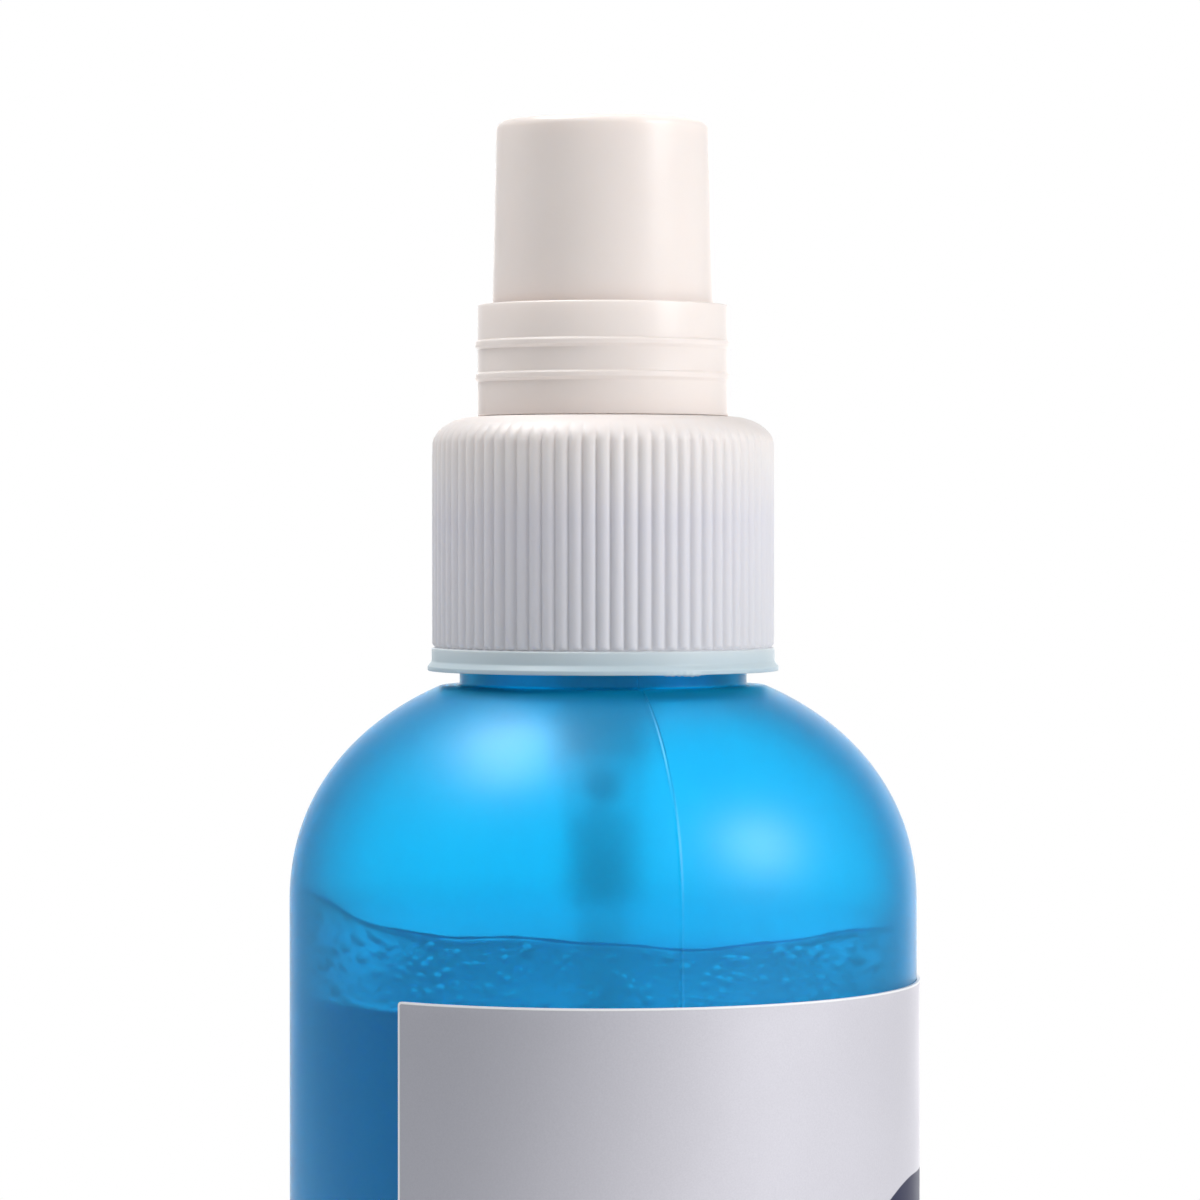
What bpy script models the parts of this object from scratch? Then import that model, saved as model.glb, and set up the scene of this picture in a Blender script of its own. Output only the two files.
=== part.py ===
"""Finger mist spray bottle: a blow-moulded bottle, a ribbed screw closure and a dip-tube pump.

The frame stands on the bottle's base, with +Z up the axis that every turned piece shares.
The spray leaves along +Y. Lengths are in millimetres, and become metres as each mesh is made.
"""
import math

import bmesh
import bpy
from mathutils import Matrix

MM = 0.001
GAP = 0.3             # between pieces that rest on each other
SLIDING_GAP = 0.1     # between round pieces that slide or fit in each other

# Bottle
BOTTLE_RADIUS = 25.0
BOTTLE_WALL = 1.0
HEEL_RADIUS = 4.0
FOOT_INNER_RADIUS = 19.0
PUSH_UP = 3.0
SHOULDER_Z = 104.0
SHOULDER_RISE = 19.65
SHOULDER_POWER = 2.1
SHOULDER_LAND = 1.5         # flat ring between the shoulder's curve and the neck
NECK_RADIUS = 11.45
NECK_ROOT_RADIUS = 10.9
NECK_BORE_RADIUS = 9.3
NECK_STEP_Z = 124.4
NECK_CHAMFER = 0.4
LAND_Z = 138.6

# Screw thread, eight turns to the inch
THREAD_PITCH = 3.175
THREAD_TURNS = 1.5
THREAD_START_Z = 129.8
NECK_CREST_RADIUS = 11.9
NECK_RIDGE_ROOT = 1.3       # half widths of each ridge at its root and at its crest
NECK_RIDGE_CREST = 0.4
CLOSURE_CREST_RADIUS = 11.25
CLOSURE_RIDGE_ROOT = 1.1
CLOSURE_RIDGE_CREST = 0.35
CLOSURE_TURNS = 1.25
RIDGE_SUNK = 0.5            # how far a ridge starts inside the wall that it joins
RIDGE_PLAY = 0.1            # how far the closure's ridge sits off the middle of the neck's groove

# Label and contents
LABEL_INNER_RADIUS = 25.15
LABEL_THICKNESS = 0.15
LABEL_BOTTOM_Z = 12.0
LABEL_TOP_Z = 97.9
LABEL_LEFT_DEG = -128.0
LABEL_SPAN_DEG = 270.0
LIQUID_Z = 96.5

# Screw closure
CLOSURE_Z = 122.4
CLOSURE_HEIGHT = 20.2
CLOSURE_BORE_RADIUS = 12.2
CLOSURE_ROOT_RADIUS = 13.4
CLOSURE_RIB_RADIUS = 13.85
CLOSURE_LIP_RADIUS = 14.0
CLOSURE_LIP_HEIGHT = 0.4
CLOSURE_BAND_RADIUS = 13.7
CLOSURE_BAND_HEIGHT = 1.8
CLOSURE_MOUTH_CHAMFER = 0.3
CLOSURE_EDGE_REACH = 3.2    # the soft top edge: a quarter ellipse, this far in
CLOSURE_EDGE_DROP = 2.1     # and this far down
CLOSURE_TOP_THICKNESS = 1.3
CLOSURE_HOLE_RADIUS = 8.2
RIB_COUNT = 78
RIB_OVERLAP = 0.05          # how far the rib ring reaches into the skirt and its band
RIB_END = 0.1               # smooth skirt between the ribs' upper ends and the rounded edge

# Pump housing, which hangs from the closure by its flange
FLANGE_RADIUS = 11.6
FLANGE_THICKNESS = 0.9
GASKET_THICKNESS = 1.0
GASKET_BORE_RADIUS = 6.2
CHAMBER_RADIUS = 3.7
CHAMBER_FLOOR_Z = 121.0
BARREL_RADIUS = 4.7
SPRING_WELL_RADIUS = 3.3
SPRING_SEAT_Z = 115.6
BALL_CHAMBER_RADIUS = 1.7
VALVE_HOLE_RADIUS = 0.9
VALVE_SEAT_Z = 112.3
BALL_CHAMBER_HEIGHT = 2.2
SOCKET_TOP_Z = 111.0
SOCKET_WALL = 1.0
HOUSING_BOTTOM_Z = 104.0
WELL_WALL = 0.8
GLAND_WALL = 0.8
HOUSING_SLOPE = 1.2         # height of each sloped step outside the housing
RIM_RECESS = 0.4            # from the rim's top to the collar's web
BALL_RADIUS = 1.25

# Dip tube
TUBE_RADIUS = 2.0
TUBE_BORE_RADIUS = 1.2
TUBE_BOTTOM_Z = 5.2
TUBE_SLANT_DEG = 40.0

# Plunger
STROKE = 5.0
STEM_RADIUS = 2.0
STEM_BORE_RADIUS = 1.1
STEM_TOP_Z = 157.0
STEM_SHOULDER_RADIUS = 3.0
STEM_SHOULDER_HEIGHT = 1.0
STEM_CHAMFER = 0.4
PORT_RADIUS = 0.4
PORT_HEIGHT = 1.2           # above the stem's lower end
PISTON_BOTTOM_Z = 134.5
PISTON_HEIGHT = 4.0
PISTON_LIP = 0.5            # height of each lip's rubbing face
PISTON_WAIST = 0.6          # how far the waist is cut in behind the lips
PISTON_CHAMFER = 0.3
ROD_RADIUS = 0.8
ROD_LENGTH = 6.0
ROD_FLANGE = 1.0
ROD_TAIL_RADIUS = 1.7
ROD_TAIL = 3.0
SPRING_WIRE_RADIUS = 0.35
SPRING_MEAN_RADIUS = 2.75
SPRING_TURNS = 10
SPRING_STEPS = 12           # to each turn

# Collar and head
COLLAR_RADIUS = 10.0
COLLAR_INNER_RADIUS = 9.2
COLLAR_HEIGHT = 8.6
COLLAR_WEB = 1.0
COLLAR_CHAMFER = 0.2
SPIGOT_WALL = 0.7
BEAD_PROUD = 0.2
BEAD_HEIGHT = 0.7
BEAD_PLACES = (0.37, 0.67)  # each bead's top, as a share of the collar's height
HEAD_Z = 149.2
HEAD_TOP_Z = 166.2
HEAD_BOTTOM_RADIUS = 8.86
HEAD_TOP_RADIUS = 8.5
HEAD_WALL = 0.9
HEAD_ROOF = 1.3
HEAD_EDGE_RADIUS = 0.8
HEAD_POST_RADIUS = 3.2
NOZZLE_Z = 160.5
NOZZLE_BOSS_RADIUS = 2.9
NOZZLE_RADIUS = 1.9
NOZZLE_BACK_Y = 5.6
NOZZLE_LENGTH = 2.7
NOZZLE_DISH_RADIUS = 1.3
NOZZLE_DISH_DEPTH = 0.6
NOZZLE_WALL = 0.7
NOZZLE_FACE = 1.0
DUCT_RADIUS = 0.6
DUCT_ROOF = 1.0             # from the spray line up to the top of the stem passage
ORIFICE_RADIUS = 0.3

# Heights that follow from the ones above
CLOSURE_TOP_Z = CLOSURE_Z + CLOSURE_HEIGHT
COLLAR_Z = CLOSURE_TOP_Z + GAP
GASKET_Z = LAND_Z + GAP
FLANGE_Z = GASKET_Z + GASKET_THICKNESS + GAP
FLANGE_TOP_Z = FLANGE_Z + FLANGE_THICKNESS
GLAND_RECESS = 0.2
GLAND_Z = FLANGE_TOP_Z - GLAND_RECESS
GLAND_THICKNESS = 1.2

# Steps round each turned piece
WIDE_STEPS = 40
MIDDLE_STEPS = 36
SMALL_STEPS = 24
FINE_STEPS = 16


def clear_scene():
    for old in list(bpy.data.objects):
        bpy.data.objects.remove(old, do_unlink=True)


def plastic(name, colour, roughness, metallic=0.0):
    """A plain Principled material in the piece's own colour."""
    made = bpy.data.materials.new(name)
    made.use_nodes = True
    surface = made.node_tree.nodes["Principled BSDF"]
    surface.inputs["Base Color"].default_value = (*colour, 1.0)
    surface.inputs["Roughness"].default_value = roughness
    surface.inputs["Metallic"].default_value = metallic
    return made


def group(name, z, parent=None):
    """An empty on the common axis that carries one moving body."""
    empty = bpy.data.objects.new(name, None)
    bpy.context.collection.objects.link(empty)
    empty.parent = parent
    base = parent.matrix_world.translation.z if parent else 0.0
    empty.location.z = z * MM - base
    bpy.context.view_layer.update()
    return empty


def place(name, mesh, surface, parent=None):
    """Link a mesh drawn in the bottle's frame under a parent, with its origin on the axis."""
    made = bpy.data.objects.new(name, mesh)
    bpy.context.collection.objects.link(made)
    mesh.materials.append(surface)
    if parent:
        made.parent = parent
        height = parent.matrix_world.translation.z
        mesh.transform(Matrix.Translation((0.0, 0.0, -height)))
    return made


def finish(bm, name):
    """Turn a bmesh into a smooth-shaded mesh with its creases kept."""
    bmesh.ops.recalc_face_normals(bm, faces=bm.faces)
    mesh = bpy.data.meshes.new(name)
    bm.to_mesh(mesh)
    bm.free()
    mesh.shade_smooth()
    mesh.set_sharp_from_angle(angle=math.radians(35.0))
    return mesh


def arc(radius_at, z_at, radius, start_deg, end_deg, steps, rise=None):
    """Points on an arc of an outline, as (radius, height) pairs; rise makes it an ellipse."""
    height = rise or radius
    points = []
    for i in range(steps + 1):
        angle = math.radians(start_deg + (end_deg - start_deg) * i / steps)
        points.append((radius_at + radius * math.cos(angle), z_at + height * math.sin(angle)))
    return points


def turned(name, outline, steps, closed=True):
    """Spin an outline of (radius, height) pairs round Z; an open outline ends on the axis."""
    bm = bmesh.new()
    corners = [bm.verts.new((r * MM, 0.0, z * MM)) for r, z in outline]
    ring = corners + corners[:1] if closed else corners
    edges = [bm.edges.new(pair) for pair in zip(ring, ring[1:])]
    bmesh.ops.spin(bm, geom=corners + edges, axis=(0.0, 0.0, 1.0), cent=(0.0, 0.0, 0.0),
                   angle=math.tau, steps=steps, use_merge=True)
    bmesh.ops.remove_doubles(bm, verts=bm.verts, dist=1e-7)
    return finish(bm, name)


def helical_ridge(name, root, crest, start_z, turns, root_half, crest_half):
    """A right-handed thread ridge that fades in and out over its first and last sixth of a turn."""
    bm = bmesh.new()
    steps = round(turns * MIDDLE_STEPS)
    fade = MIDDLE_STEPS / 6
    sections = []
    for i in range(steps + 1):
        angle = math.tau * i / MIDDLE_STEPS
        z = start_z + THREAD_PITCH * i / MIDDLE_STEPS
        full = min(1.0, (i + 1) / fade, (steps + 1 - i) / fade)
        top = root + (crest - root) * full
        corners = ((root, z - root_half), (top, z - crest_half), (top, z + crest_half), (root, z + root_half))
        turn = Matrix.Rotation(angle, 3, "Z")
        section = []
        for r, height in corners:
            vert = bm.verts.new((r * MM, 0.0, height * MM))
            vert.co = turn @ vert.co
            section.append(vert)
        sections.append(section)
    for near, far in zip(sections, sections[1:]):
        for k in range(4):
            bm.faces.new((near[k], near[(k + 1) % 4], far[(k + 1) % 4], far[k]))
    bm.faces.new(sections[0])
    bm.faces.new(sections[-1])
    return finish(bm, name)


def merge_or_cut(target, tool_mesh, operation):
    """Add a Boolean with a hidden tool that sits where the target sits."""
    tool = bpy.data.objects.new(target.name + "_tool", tool_mesh)
    bpy.context.collection.objects.link(tool)
    tool.display_type = "WIRE"
    tool.hide_render = True
    modifier = target.modifiers.new(operation.title(), "BOOLEAN")
    modifier.operation = operation
    modifier.object = tool
    return tool


def rod_along_y(name, radius, start_y, end_y, z, steps):
    """A round bar along +Y, for the spray passage."""
    bm = bmesh.new()
    bmesh.ops.create_cone(bm, cap_ends=True, segments=steps, radius1=radius * MM,
                          radius2=radius * MM, depth=(end_y - start_y) * MM)
    bmesh.ops.rotate(bm, verts=bm.verts, matrix=Matrix.Rotation(math.radians(-90.0), 3, "X"))
    middle = (0.0, (start_y + end_y) / 2 * MM, z * MM)
    bmesh.ops.translate(bm, verts=bm.verts, vec=middle)
    return finish(bm, name)


def floor_height(radius):
    """The push-up under the bottle: a smooth rise from the standing ring to the centre."""
    share = min(radius / FOOT_INNER_RADIUS, 1.0)
    return PUSH_UP * (1 + math.cos(math.pi * share)) / 2


def base_outline(offset, inner_radius, steps):
    """From a radius near the axis out over the floor and up round the heel, offset inwards."""
    points = []
    for i in range(steps + 1):
        r = inner_radius + (FOOT_INNER_RADIUS - inner_radius) * i / steps
        points.append((r, floor_height(r) + offset))
    heel = BOTTLE_RADIUS - HEEL_RADIUS
    return points + arc(heel, HEEL_RADIUS, HEEL_RADIUS - offset, -90.0, 0.0, 4)


def shoulder_outline(offset, neck_radius, steps):
    """The shoulder: a superellipse from the straight wall in to the neck."""
    half_width = BOTTLE_RADIUS - offset
    rise = SHOULDER_RISE - offset
    end = math.acos((neck_radius / half_width) ** (SHOULDER_POWER / 2))
    points = []
    for i in range(steps + 1):
        t = end * i / steps
        r = half_width * math.cos(t) ** (2 / SHOULDER_POWER)
        z = SHOULDER_Z + rise * math.sin(t) ** (2 / SHOULDER_POWER)
        points.append((r, z))
    return points


def bottle(surface):
    """Round bottle in one blow moulding: foot, straight wall, shoulder and threaded neck."""
    outline = base_outline(0.0, 0.0, 4)
    outline += shoulder_outline(0.0, NECK_RADIUS + SHOULDER_LAND, 10)
    outline += [(NECK_RADIUS, outline[-1][1])]
    outline += [(NECK_RADIUS, NECK_STEP_Z), (NECK_ROOT_RADIUS, NECK_STEP_Z + NECK_CHAMFER)]
    outline += [(NECK_ROOT_RADIUS, LAND_Z - NECK_CHAMFER), (NECK_ROOT_RADIUS - NECK_CHAMFER, LAND_Z)]
    inner = shoulder_outline(BOTTLE_WALL, NECK_RADIUS + SHOULDER_LAND, 8)
    root_z = inner[-1][1]
    outline += [(NECK_BORE_RADIUS, LAND_Z), (NECK_BORE_RADIUS, root_z + BOTTLE_WALL)]
    outline += [(NECK_BORE_RADIUS + BOTTLE_WALL, root_z)]
    outline += reversed(inner)
    outline += reversed(base_outline(BOTTLE_WALL, 0.0, 4))
    made = place("bottle", turned("bottle", outline, WIDE_STEPS, closed=False), surface)
    ridge = helical_ridge("neck_thread", NECK_ROOT_RADIUS - RIDGE_SUNK, NECK_CREST_RADIUS,
                          THREAD_START_Z, THREAD_TURNS, NECK_RIDGE_ROOT, NECK_RIDGE_CREST)
    merge_or_cut(made, ridge, "UNION")
    return made


def label(surface):
    """Wrap-round label: a thin band over three quarters of the straight wall."""
    bm = bmesh.new()
    inner = LABEL_INNER_RADIUS
    outer = LABEL_INNER_RADIUS + LABEL_THICKNESS
    corners = ((inner, LABEL_BOTTOM_Z), (outer, LABEL_BOTTOM_Z), (outer, LABEL_TOP_Z), (inner, LABEL_TOP_Z))
    face = bm.faces.new([bm.verts.new((r * MM, 0.0, z * MM)) for r, z in corners])
    start = Matrix.Rotation(math.radians(LABEL_LEFT_DEG), 3, "Z")
    bmesh.ops.rotate(bm, verts=bm.verts, matrix=start)
    bmesh.ops.spin(bm, geom=[face], axis=(0.0, 0.0, 1.0), cent=(0.0, 0.0, 0.0),
                   angle=math.radians(LABEL_SPAN_DEG), steps=30)
    return place("label", finish(bm, "label"), surface)


def liquid_fill(surface):
    """The liquid as one solid round the dip tube, a little inside the wall."""
    inner = TUBE_RADIUS + GAP
    outline = base_outline(BOTTLE_WALL + GAP, inner, 4)
    outline += [(BOTTLE_RADIUS - BOTTLE_WALL - GAP, LIQUID_Z), (inner, LIQUID_Z)]
    return place("liquid_fill", turned("liquid_fill", outline, WIDE_STEPS), surface)


def rib_ring():
    """Finger ribs as one ring: two crest corners and one groove corner to each rib."""
    bm = bmesh.new()
    groove = CLOSURE_ROOT_RADIUS + RIB_OVERLAP
    low = CLOSURE_Z + CLOSURE_BAND_HEIGHT - RIB_OVERLAP
    high = CLOSURE_TOP_Z - CLOSURE_EDGE_DROP - RIB_END
    outer = []
    inner = []
    for i in range(RIB_COUNT):
        for share, r in ((0.0, groove), (0.25, CLOSURE_RIB_RADIUS), (0.75, CLOSURE_RIB_RADIUS)):
            angle = math.tau * (i + share) / RIB_COUNT
            outer.append((r * MM * math.cos(angle), r * MM * math.sin(angle)))
    core = (CLOSURE_ROOT_RADIUS + CLOSURE_BORE_RADIUS) / 2
    for i in range(SMALL_STEPS * 2):
        angle = math.tau * i / (SMALL_STEPS * 2)
        inner.append((core * MM * math.cos(angle), core * MM * math.sin(angle)))
    loops = []
    for ring in (outer, inner):
        verts = [bm.verts.new((x, y, low * MM)) for x, y in ring]
        loops += [bm.edges.new(pair) for pair in zip(verts, verts[1:] + verts[:1])]
    bmesh.ops.triangle_fill(bm, use_beauty=True, use_dissolve=False, edges=loops)
    lifted = bmesh.ops.extrude_face_region(bm, geom=list(bm.faces))
    moved = [item for item in lifted["geom"] if isinstance(item, bmesh.types.BMVert)]
    bmesh.ops.translate(bm, verts=moved, vec=(0.0, 0.0, (high - low) * MM))
    return finish(bm, "rib_ring")


def closure(surface, parent):
    """Ribbed screw closure: skirt with a plain band and lip, top plate with a hole, inner thread."""
    top = CLOSURE_HEIGHT
    reach = CLOSURE_EDGE_REACH
    drop = CLOSURE_EDGE_DROP
    under = top - CLOSURE_TOP_THICKNESS
    lip = CLOSURE_LIP_HEIGHT
    outline = [(CLOSURE_BORE_RADIUS + CLOSURE_MOUTH_CHAMFER, 0.0), (CLOSURE_LIP_RADIUS, 0.0)]
    outline += [(CLOSURE_LIP_RADIUS, lip), (CLOSURE_BAND_RADIUS, 2 * lip)]
    outline += [(CLOSURE_BAND_RADIUS, CLOSURE_BAND_HEIGHT)]
    outline += [(CLOSURE_ROOT_RADIUS, CLOSURE_BAND_HEIGHT + 2 * RIB_OVERLAP)]
    outline += arc(CLOSURE_ROOT_RADIUS - reach, top - drop, reach, 0.0, 90.0, 5, rise=drop)
    outline += [(CLOSURE_HOLE_RADIUS, top), (CLOSURE_HOLE_RADIUS, under), (CLOSURE_BORE_RADIUS, under)]
    outline += [(CLOSURE_BORE_RADIUS, CLOSURE_MOUTH_CHAMFER)]
    raised = [(r, z + CLOSURE_Z) for r, z in outline]
    made = place("closure", turned("closure", raised, SMALL_STEPS * 2), surface, parent)
    follow = THREAD_PITCH / 2 - RIDGE_PLAY
    ridge = helical_ridge("closure_thread", CLOSURE_BORE_RADIUS + RIDGE_SUNK, CLOSURE_CREST_RADIUS,
                          THREAD_START_Z - follow, CLOSURE_TURNS, CLOSURE_RIDGE_ROOT, CLOSURE_RIDGE_CREST)
    for tool_mesh in (rib_ring(), ridge):
        tool = merge_or_cut(made, tool_mesh, "UNION")
        tool.parent = parent
        tool_mesh.transform(Matrix.Translation((0.0, 0.0, -parent.matrix_world.translation.z)))
    return made


def collar(surface, parent):
    """Collar round the head: a beaded cup, a web the stem passes, and a spigot into the closure."""
    spigot_outer = CLOSURE_HOLE_RADIUS - GAP
    spigot_inner = spigot_outer - SPIGOT_WALL
    spigot_end = FLANGE_TOP_Z + GAP - COLLAR_Z
    top = COLLAR_HEIGHT
    outline = [(spigot_inner, 0.0), (spigot_inner, spigot_end), (spigot_outer, spigot_end)]
    outline += [(spigot_outer, 0.0), (COLLAR_RADIUS, 0.0)]
    for share in BEAD_PLACES:
        bead_top = top * share
        outline += [(COLLAR_RADIUS, bead_top - BEAD_HEIGHT)]
        outline += [(COLLAR_RADIUS + BEAD_PROUD, bead_top - BEAD_HEIGHT / 2), (COLLAR_RADIUS, bead_top)]
    outline += [(COLLAR_RADIUS, top - COLLAR_CHAMFER), (COLLAR_RADIUS - COLLAR_CHAMFER, top)]
    outline += [(COLLAR_INNER_RADIUS, top)]
    outline += [(COLLAR_INNER_RADIUS, COLLAR_WEB), (STEM_RADIUS + GAP, COLLAR_WEB), (STEM_RADIUS + GAP, 0.0)]
    raised = [(r, z + COLLAR_Z) for r, z in outline]
    return place("collar", turned("collar", raised, MIDDLE_STEPS), surface, parent)


def pump_housing(surface, parent):
    """Housing: flange and rim, pump chamber, spring well, ball chamber and dip tube socket."""
    gland_radius = BARREL_RADIUS + GLAND_WALL
    rim_radius = CLOSURE_HOLE_RADIUS - GAP - SPIGOT_WALL - GAP
    rim_z = COLLAR_Z - RIM_RECESS
    socket_radius = TUBE_RADIUS + SLIDING_GAP
    neck_radius = socket_radius + SOCKET_WALL
    well_radius = SPRING_WELL_RADIUS + WELL_WALL
    well_z = SPRING_SEAT_Z - RIM_RECESS
    well_floor_z = CHAMBER_FLOOR_Z - (CHAMBER_RADIUS - SPRING_WELL_RADIUS)
    outlet_radius = BALL_RADIUS - SLIDING_GAP
    ball_top = VALVE_SEAT_Z + BALL_CHAMBER_HEIGHT
    cone_top = VALVE_SEAT_Z + BALL_CHAMBER_RADIUS - VALVE_HOLE_RADIUS
    outline = [(socket_radius, HOUSING_BOTTOM_Z), (neck_radius, HOUSING_BOTTOM_Z)]
    outline += [(neck_radius, well_z - HOUSING_SLOPE), (well_radius, well_z)]
    outline += [(well_radius, CHAMBER_FLOOR_Z - HOUSING_SLOPE), (BARREL_RADIUS, CHAMBER_FLOOR_Z)]
    outline += [(BARREL_RADIUS, FLANGE_Z), (FLANGE_RADIUS, FLANGE_Z), (FLANGE_RADIUS, FLANGE_TOP_Z)]
    outline += [(rim_radius, FLANGE_TOP_Z), (rim_radius, rim_z), (gland_radius, rim_z)]
    outline += [(gland_radius, GLAND_Z), (CHAMBER_RADIUS, GLAND_Z), (CHAMBER_RADIUS, CHAMBER_FLOOR_Z)]
    outline += [(SPRING_WELL_RADIUS, well_floor_z), (SPRING_WELL_RADIUS, SPRING_SEAT_Z)]
    outline += [(outlet_radius, SPRING_SEAT_Z), (outlet_radius, ball_top + BALL_CHAMBER_RADIUS - outlet_radius)]
    outline += [(BALL_CHAMBER_RADIUS, ball_top), (BALL_CHAMBER_RADIUS, cone_top)]
    outline += [(VALVE_HOLE_RADIUS, VALVE_SEAT_Z), (VALVE_HOLE_RADIUS, SOCKET_TOP_Z)]
    outline += [(socket_radius, SOCKET_TOP_Z)]
    return place("pump_housing", turned("pump_housing", outline, SMALL_STEPS), surface, parent)


def ring(name, inner, outer, low, thickness, surface, parent):
    """A flat washer, such as a gasket."""
    high = low + thickness
    outline = [(inner, low), (outer, low), (outer, high), (inner, high)]
    return place(name, turned(name, outline, SMALL_STEPS), surface, parent)


def dip_tube(surface, parent):
    """Straight tube with its lower end cut on the slant, so that it can't seal on the floor."""
    top = SOCKET_TOP_Z - GAP
    outline = [(TUBE_BORE_RADIUS, TUBE_BOTTOM_Z), (TUBE_RADIUS, TUBE_BOTTOM_Z), (TUBE_RADIUS, top)]
    outline += [(TUBE_BORE_RADIUS, top)]
    made = place("dip_tube", turned("dip_tube", outline, FINE_STEPS), surface, parent)
    bm = bmesh.new()
    bmesh.ops.create_cube(bm, size=4 * TUBE_RADIUS * MM)
    bmesh.ops.translate(bm, verts=bm.verts, vec=(0.0, 0.0, -2 * TUBE_RADIUS * MM))
    bmesh.ops.rotate(bm, verts=bm.verts, matrix=Matrix.Rotation(math.radians(TUBE_SLANT_DEG), 3, "Y"))
    height = (TUBE_BOTTOM_Z + TUBE_RADIUS) * MM - parent.matrix_world.translation.z
    bmesh.ops.translate(bm, verts=bm.verts, vec=(0.0, 0.0, height))
    tool = merge_or_cut(made, finish(bm, "slant_cut"), "DIFFERENCE")
    tool.parent = parent
    return made


def check_ball(surface, parent):
    """Steel ball on its cone seat."""
    cone_point_z = VALVE_SEAT_Z - VALVE_HOLE_RADIUS
    centre_z = cone_point_z + math.sqrt(2.0) * (BALL_RADIUS + SLIDING_GAP)
    bm = bmesh.new()
    bmesh.ops.create_uvsphere(bm, u_segments=FINE_STEPS, v_segments=8, radius=BALL_RADIUS * MM)
    bmesh.ops.translate(bm, verts=bm.verts, vec=(0.0, 0.0, centre_z * MM))
    return place("check_ball", finish(bm, "check_ball"), surface, parent)


def spring_height(turn, low, high):
    """Height of the wire after some turns: closed end coils and evenly open coils between."""
    closed_pitch = 2.1 * SPRING_WIRE_RADIUS
    open_pitch = (high - low - 2 * closed_pitch) / (SPRING_TURNS - 2)
    if turn <= 1:
        return low + closed_pitch * turn
    if turn >= SPRING_TURNS - 1:
        return high - closed_pitch * (SPRING_TURNS - turn)
    return low + closed_pitch + open_pitch * (turn - 1)


def return_spring(surface, parent):
    """Compression spring from the housing's seat up to the valve rod's flange."""
    low = SPRING_SEAT_Z + SLIDING_GAP + SPRING_WIRE_RADIUS
    high = PISTON_BOTTOM_Z - GAP - ROD_FLANGE - SLIDING_GAP - SPRING_WIRE_RADIUS
    steps = SPRING_TURNS * SPRING_STEPS
    curve = bpy.data.curves.new("return_spring", "CURVE")
    curve.dimensions = "3D"
    curve.bevel_depth = SPRING_WIRE_RADIUS * MM
    curve.bevel_resolution = 1
    curve.use_fill_caps = True
    spline = curve.splines.new("POLY")
    spline.points.add(steps)
    base = parent.matrix_world.translation.z
    for i in range(steps + 1):
        turn = i / SPRING_STEPS
        angle = math.tau * turn
        x = SPRING_MEAN_RADIUS * MM * math.cos(angle)
        y = SPRING_MEAN_RADIUS * MM * math.sin(angle)
        spline.points[i].co = (x, y, spring_height(turn, low, high) * MM - base, 1.0)
    made = bpy.data.objects.new("return_spring", curve)
    bpy.context.collection.objects.link(made)
    curve.materials.append(surface)
    made.parent = parent
    return made


def stem(surface, parent):
    """Hollow stem: it passes the gland, stops on its shoulder and plugs into the head."""
    bottom = PISTON_BOTTOM_Z
    stop = GLAND_Z - STEM_SHOULDER_HEIGHT
    outline = [(STEM_BORE_RADIUS, bottom), (STEM_RADIUS, bottom), (STEM_RADIUS, stop)]
    outline += [(STEM_SHOULDER_RADIUS, stop), (STEM_SHOULDER_RADIUS, GLAND_Z), (STEM_RADIUS, GLAND_Z)]
    outline += [(STEM_RADIUS, STEM_TOP_Z - STEM_CHAMFER), (STEM_RADIUS - STEM_CHAMFER, STEM_TOP_Z)]
    outline += [(STEM_BORE_RADIUS, STEM_TOP_Z)]
    made = place("stem", turned("stem", outline, FINE_STEPS), surface, parent)
    port = rod_along_y("stem_port", PORT_RADIUS, -2 * STEM_RADIUS, 2 * STEM_RADIUS, bottom + PORT_HEIGHT, 8)
    tool = merge_or_cut(made, port, "DIFFERENCE")
    tool.parent = parent
    port.transform(Matrix.Translation((0.0, 0.0, -parent.matrix_world.translation.z)))
    return made


def valve_rod(surface, parent):
    """Rod in the stem's lower end: its flange closes the piston and takes the spring."""
    flange_top = PISTON_BOTTOM_Z - GAP
    flange_low = flange_top - ROD_FLANGE
    tail = flange_low - ROD_TAIL
    tip = flange_top + ROD_LENGTH
    outline = [(0.0, tail), (ROD_TAIL_RADIUS - STEM_CHAMFER, tail), (ROD_TAIL_RADIUS, tail + STEM_CHAMFER)]
    outline += [(ROD_TAIL_RADIUS, flange_low), (STEM_SHOULDER_RADIUS, flange_low)]
    outline += [(STEM_SHOULDER_RADIUS, flange_top), (ROD_RADIUS, flange_top)]
    outline += [(ROD_RADIUS, tip - STEM_CHAMFER), (0.0, tip)]
    return place("valve_rod", turned("valve_rod", outline, FINE_STEPS, closed=False), surface, parent)


def piston(surface, parent):
    """Piston with a sealing lip at each end and a waist between them."""
    bore = STEM_RADIUS + SLIDING_GAP
    lip = CHAMBER_RADIUS - SLIDING_GAP
    low = PISTON_BOTTOM_Z
    high = PISTON_BOTTOM_Z + PISTON_HEIGHT
    edge = PISTON_CHAMFER
    rub = edge + PISTON_LIP
    waist = lip - PISTON_WAIST
    outline = [(bore, low), (lip - edge, low), (lip, low + edge), (lip, low + rub)]
    outline += [(waist, low + rub + PISTON_WAIST), (waist, high - rub - PISTON_WAIST)]
    outline += [(lip, high - rub), (lip, high - edge), (lip - edge, high), (bore, high)]
    return place("piston", turned("piston", outline, SMALL_STEPS), surface, parent)


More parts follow.
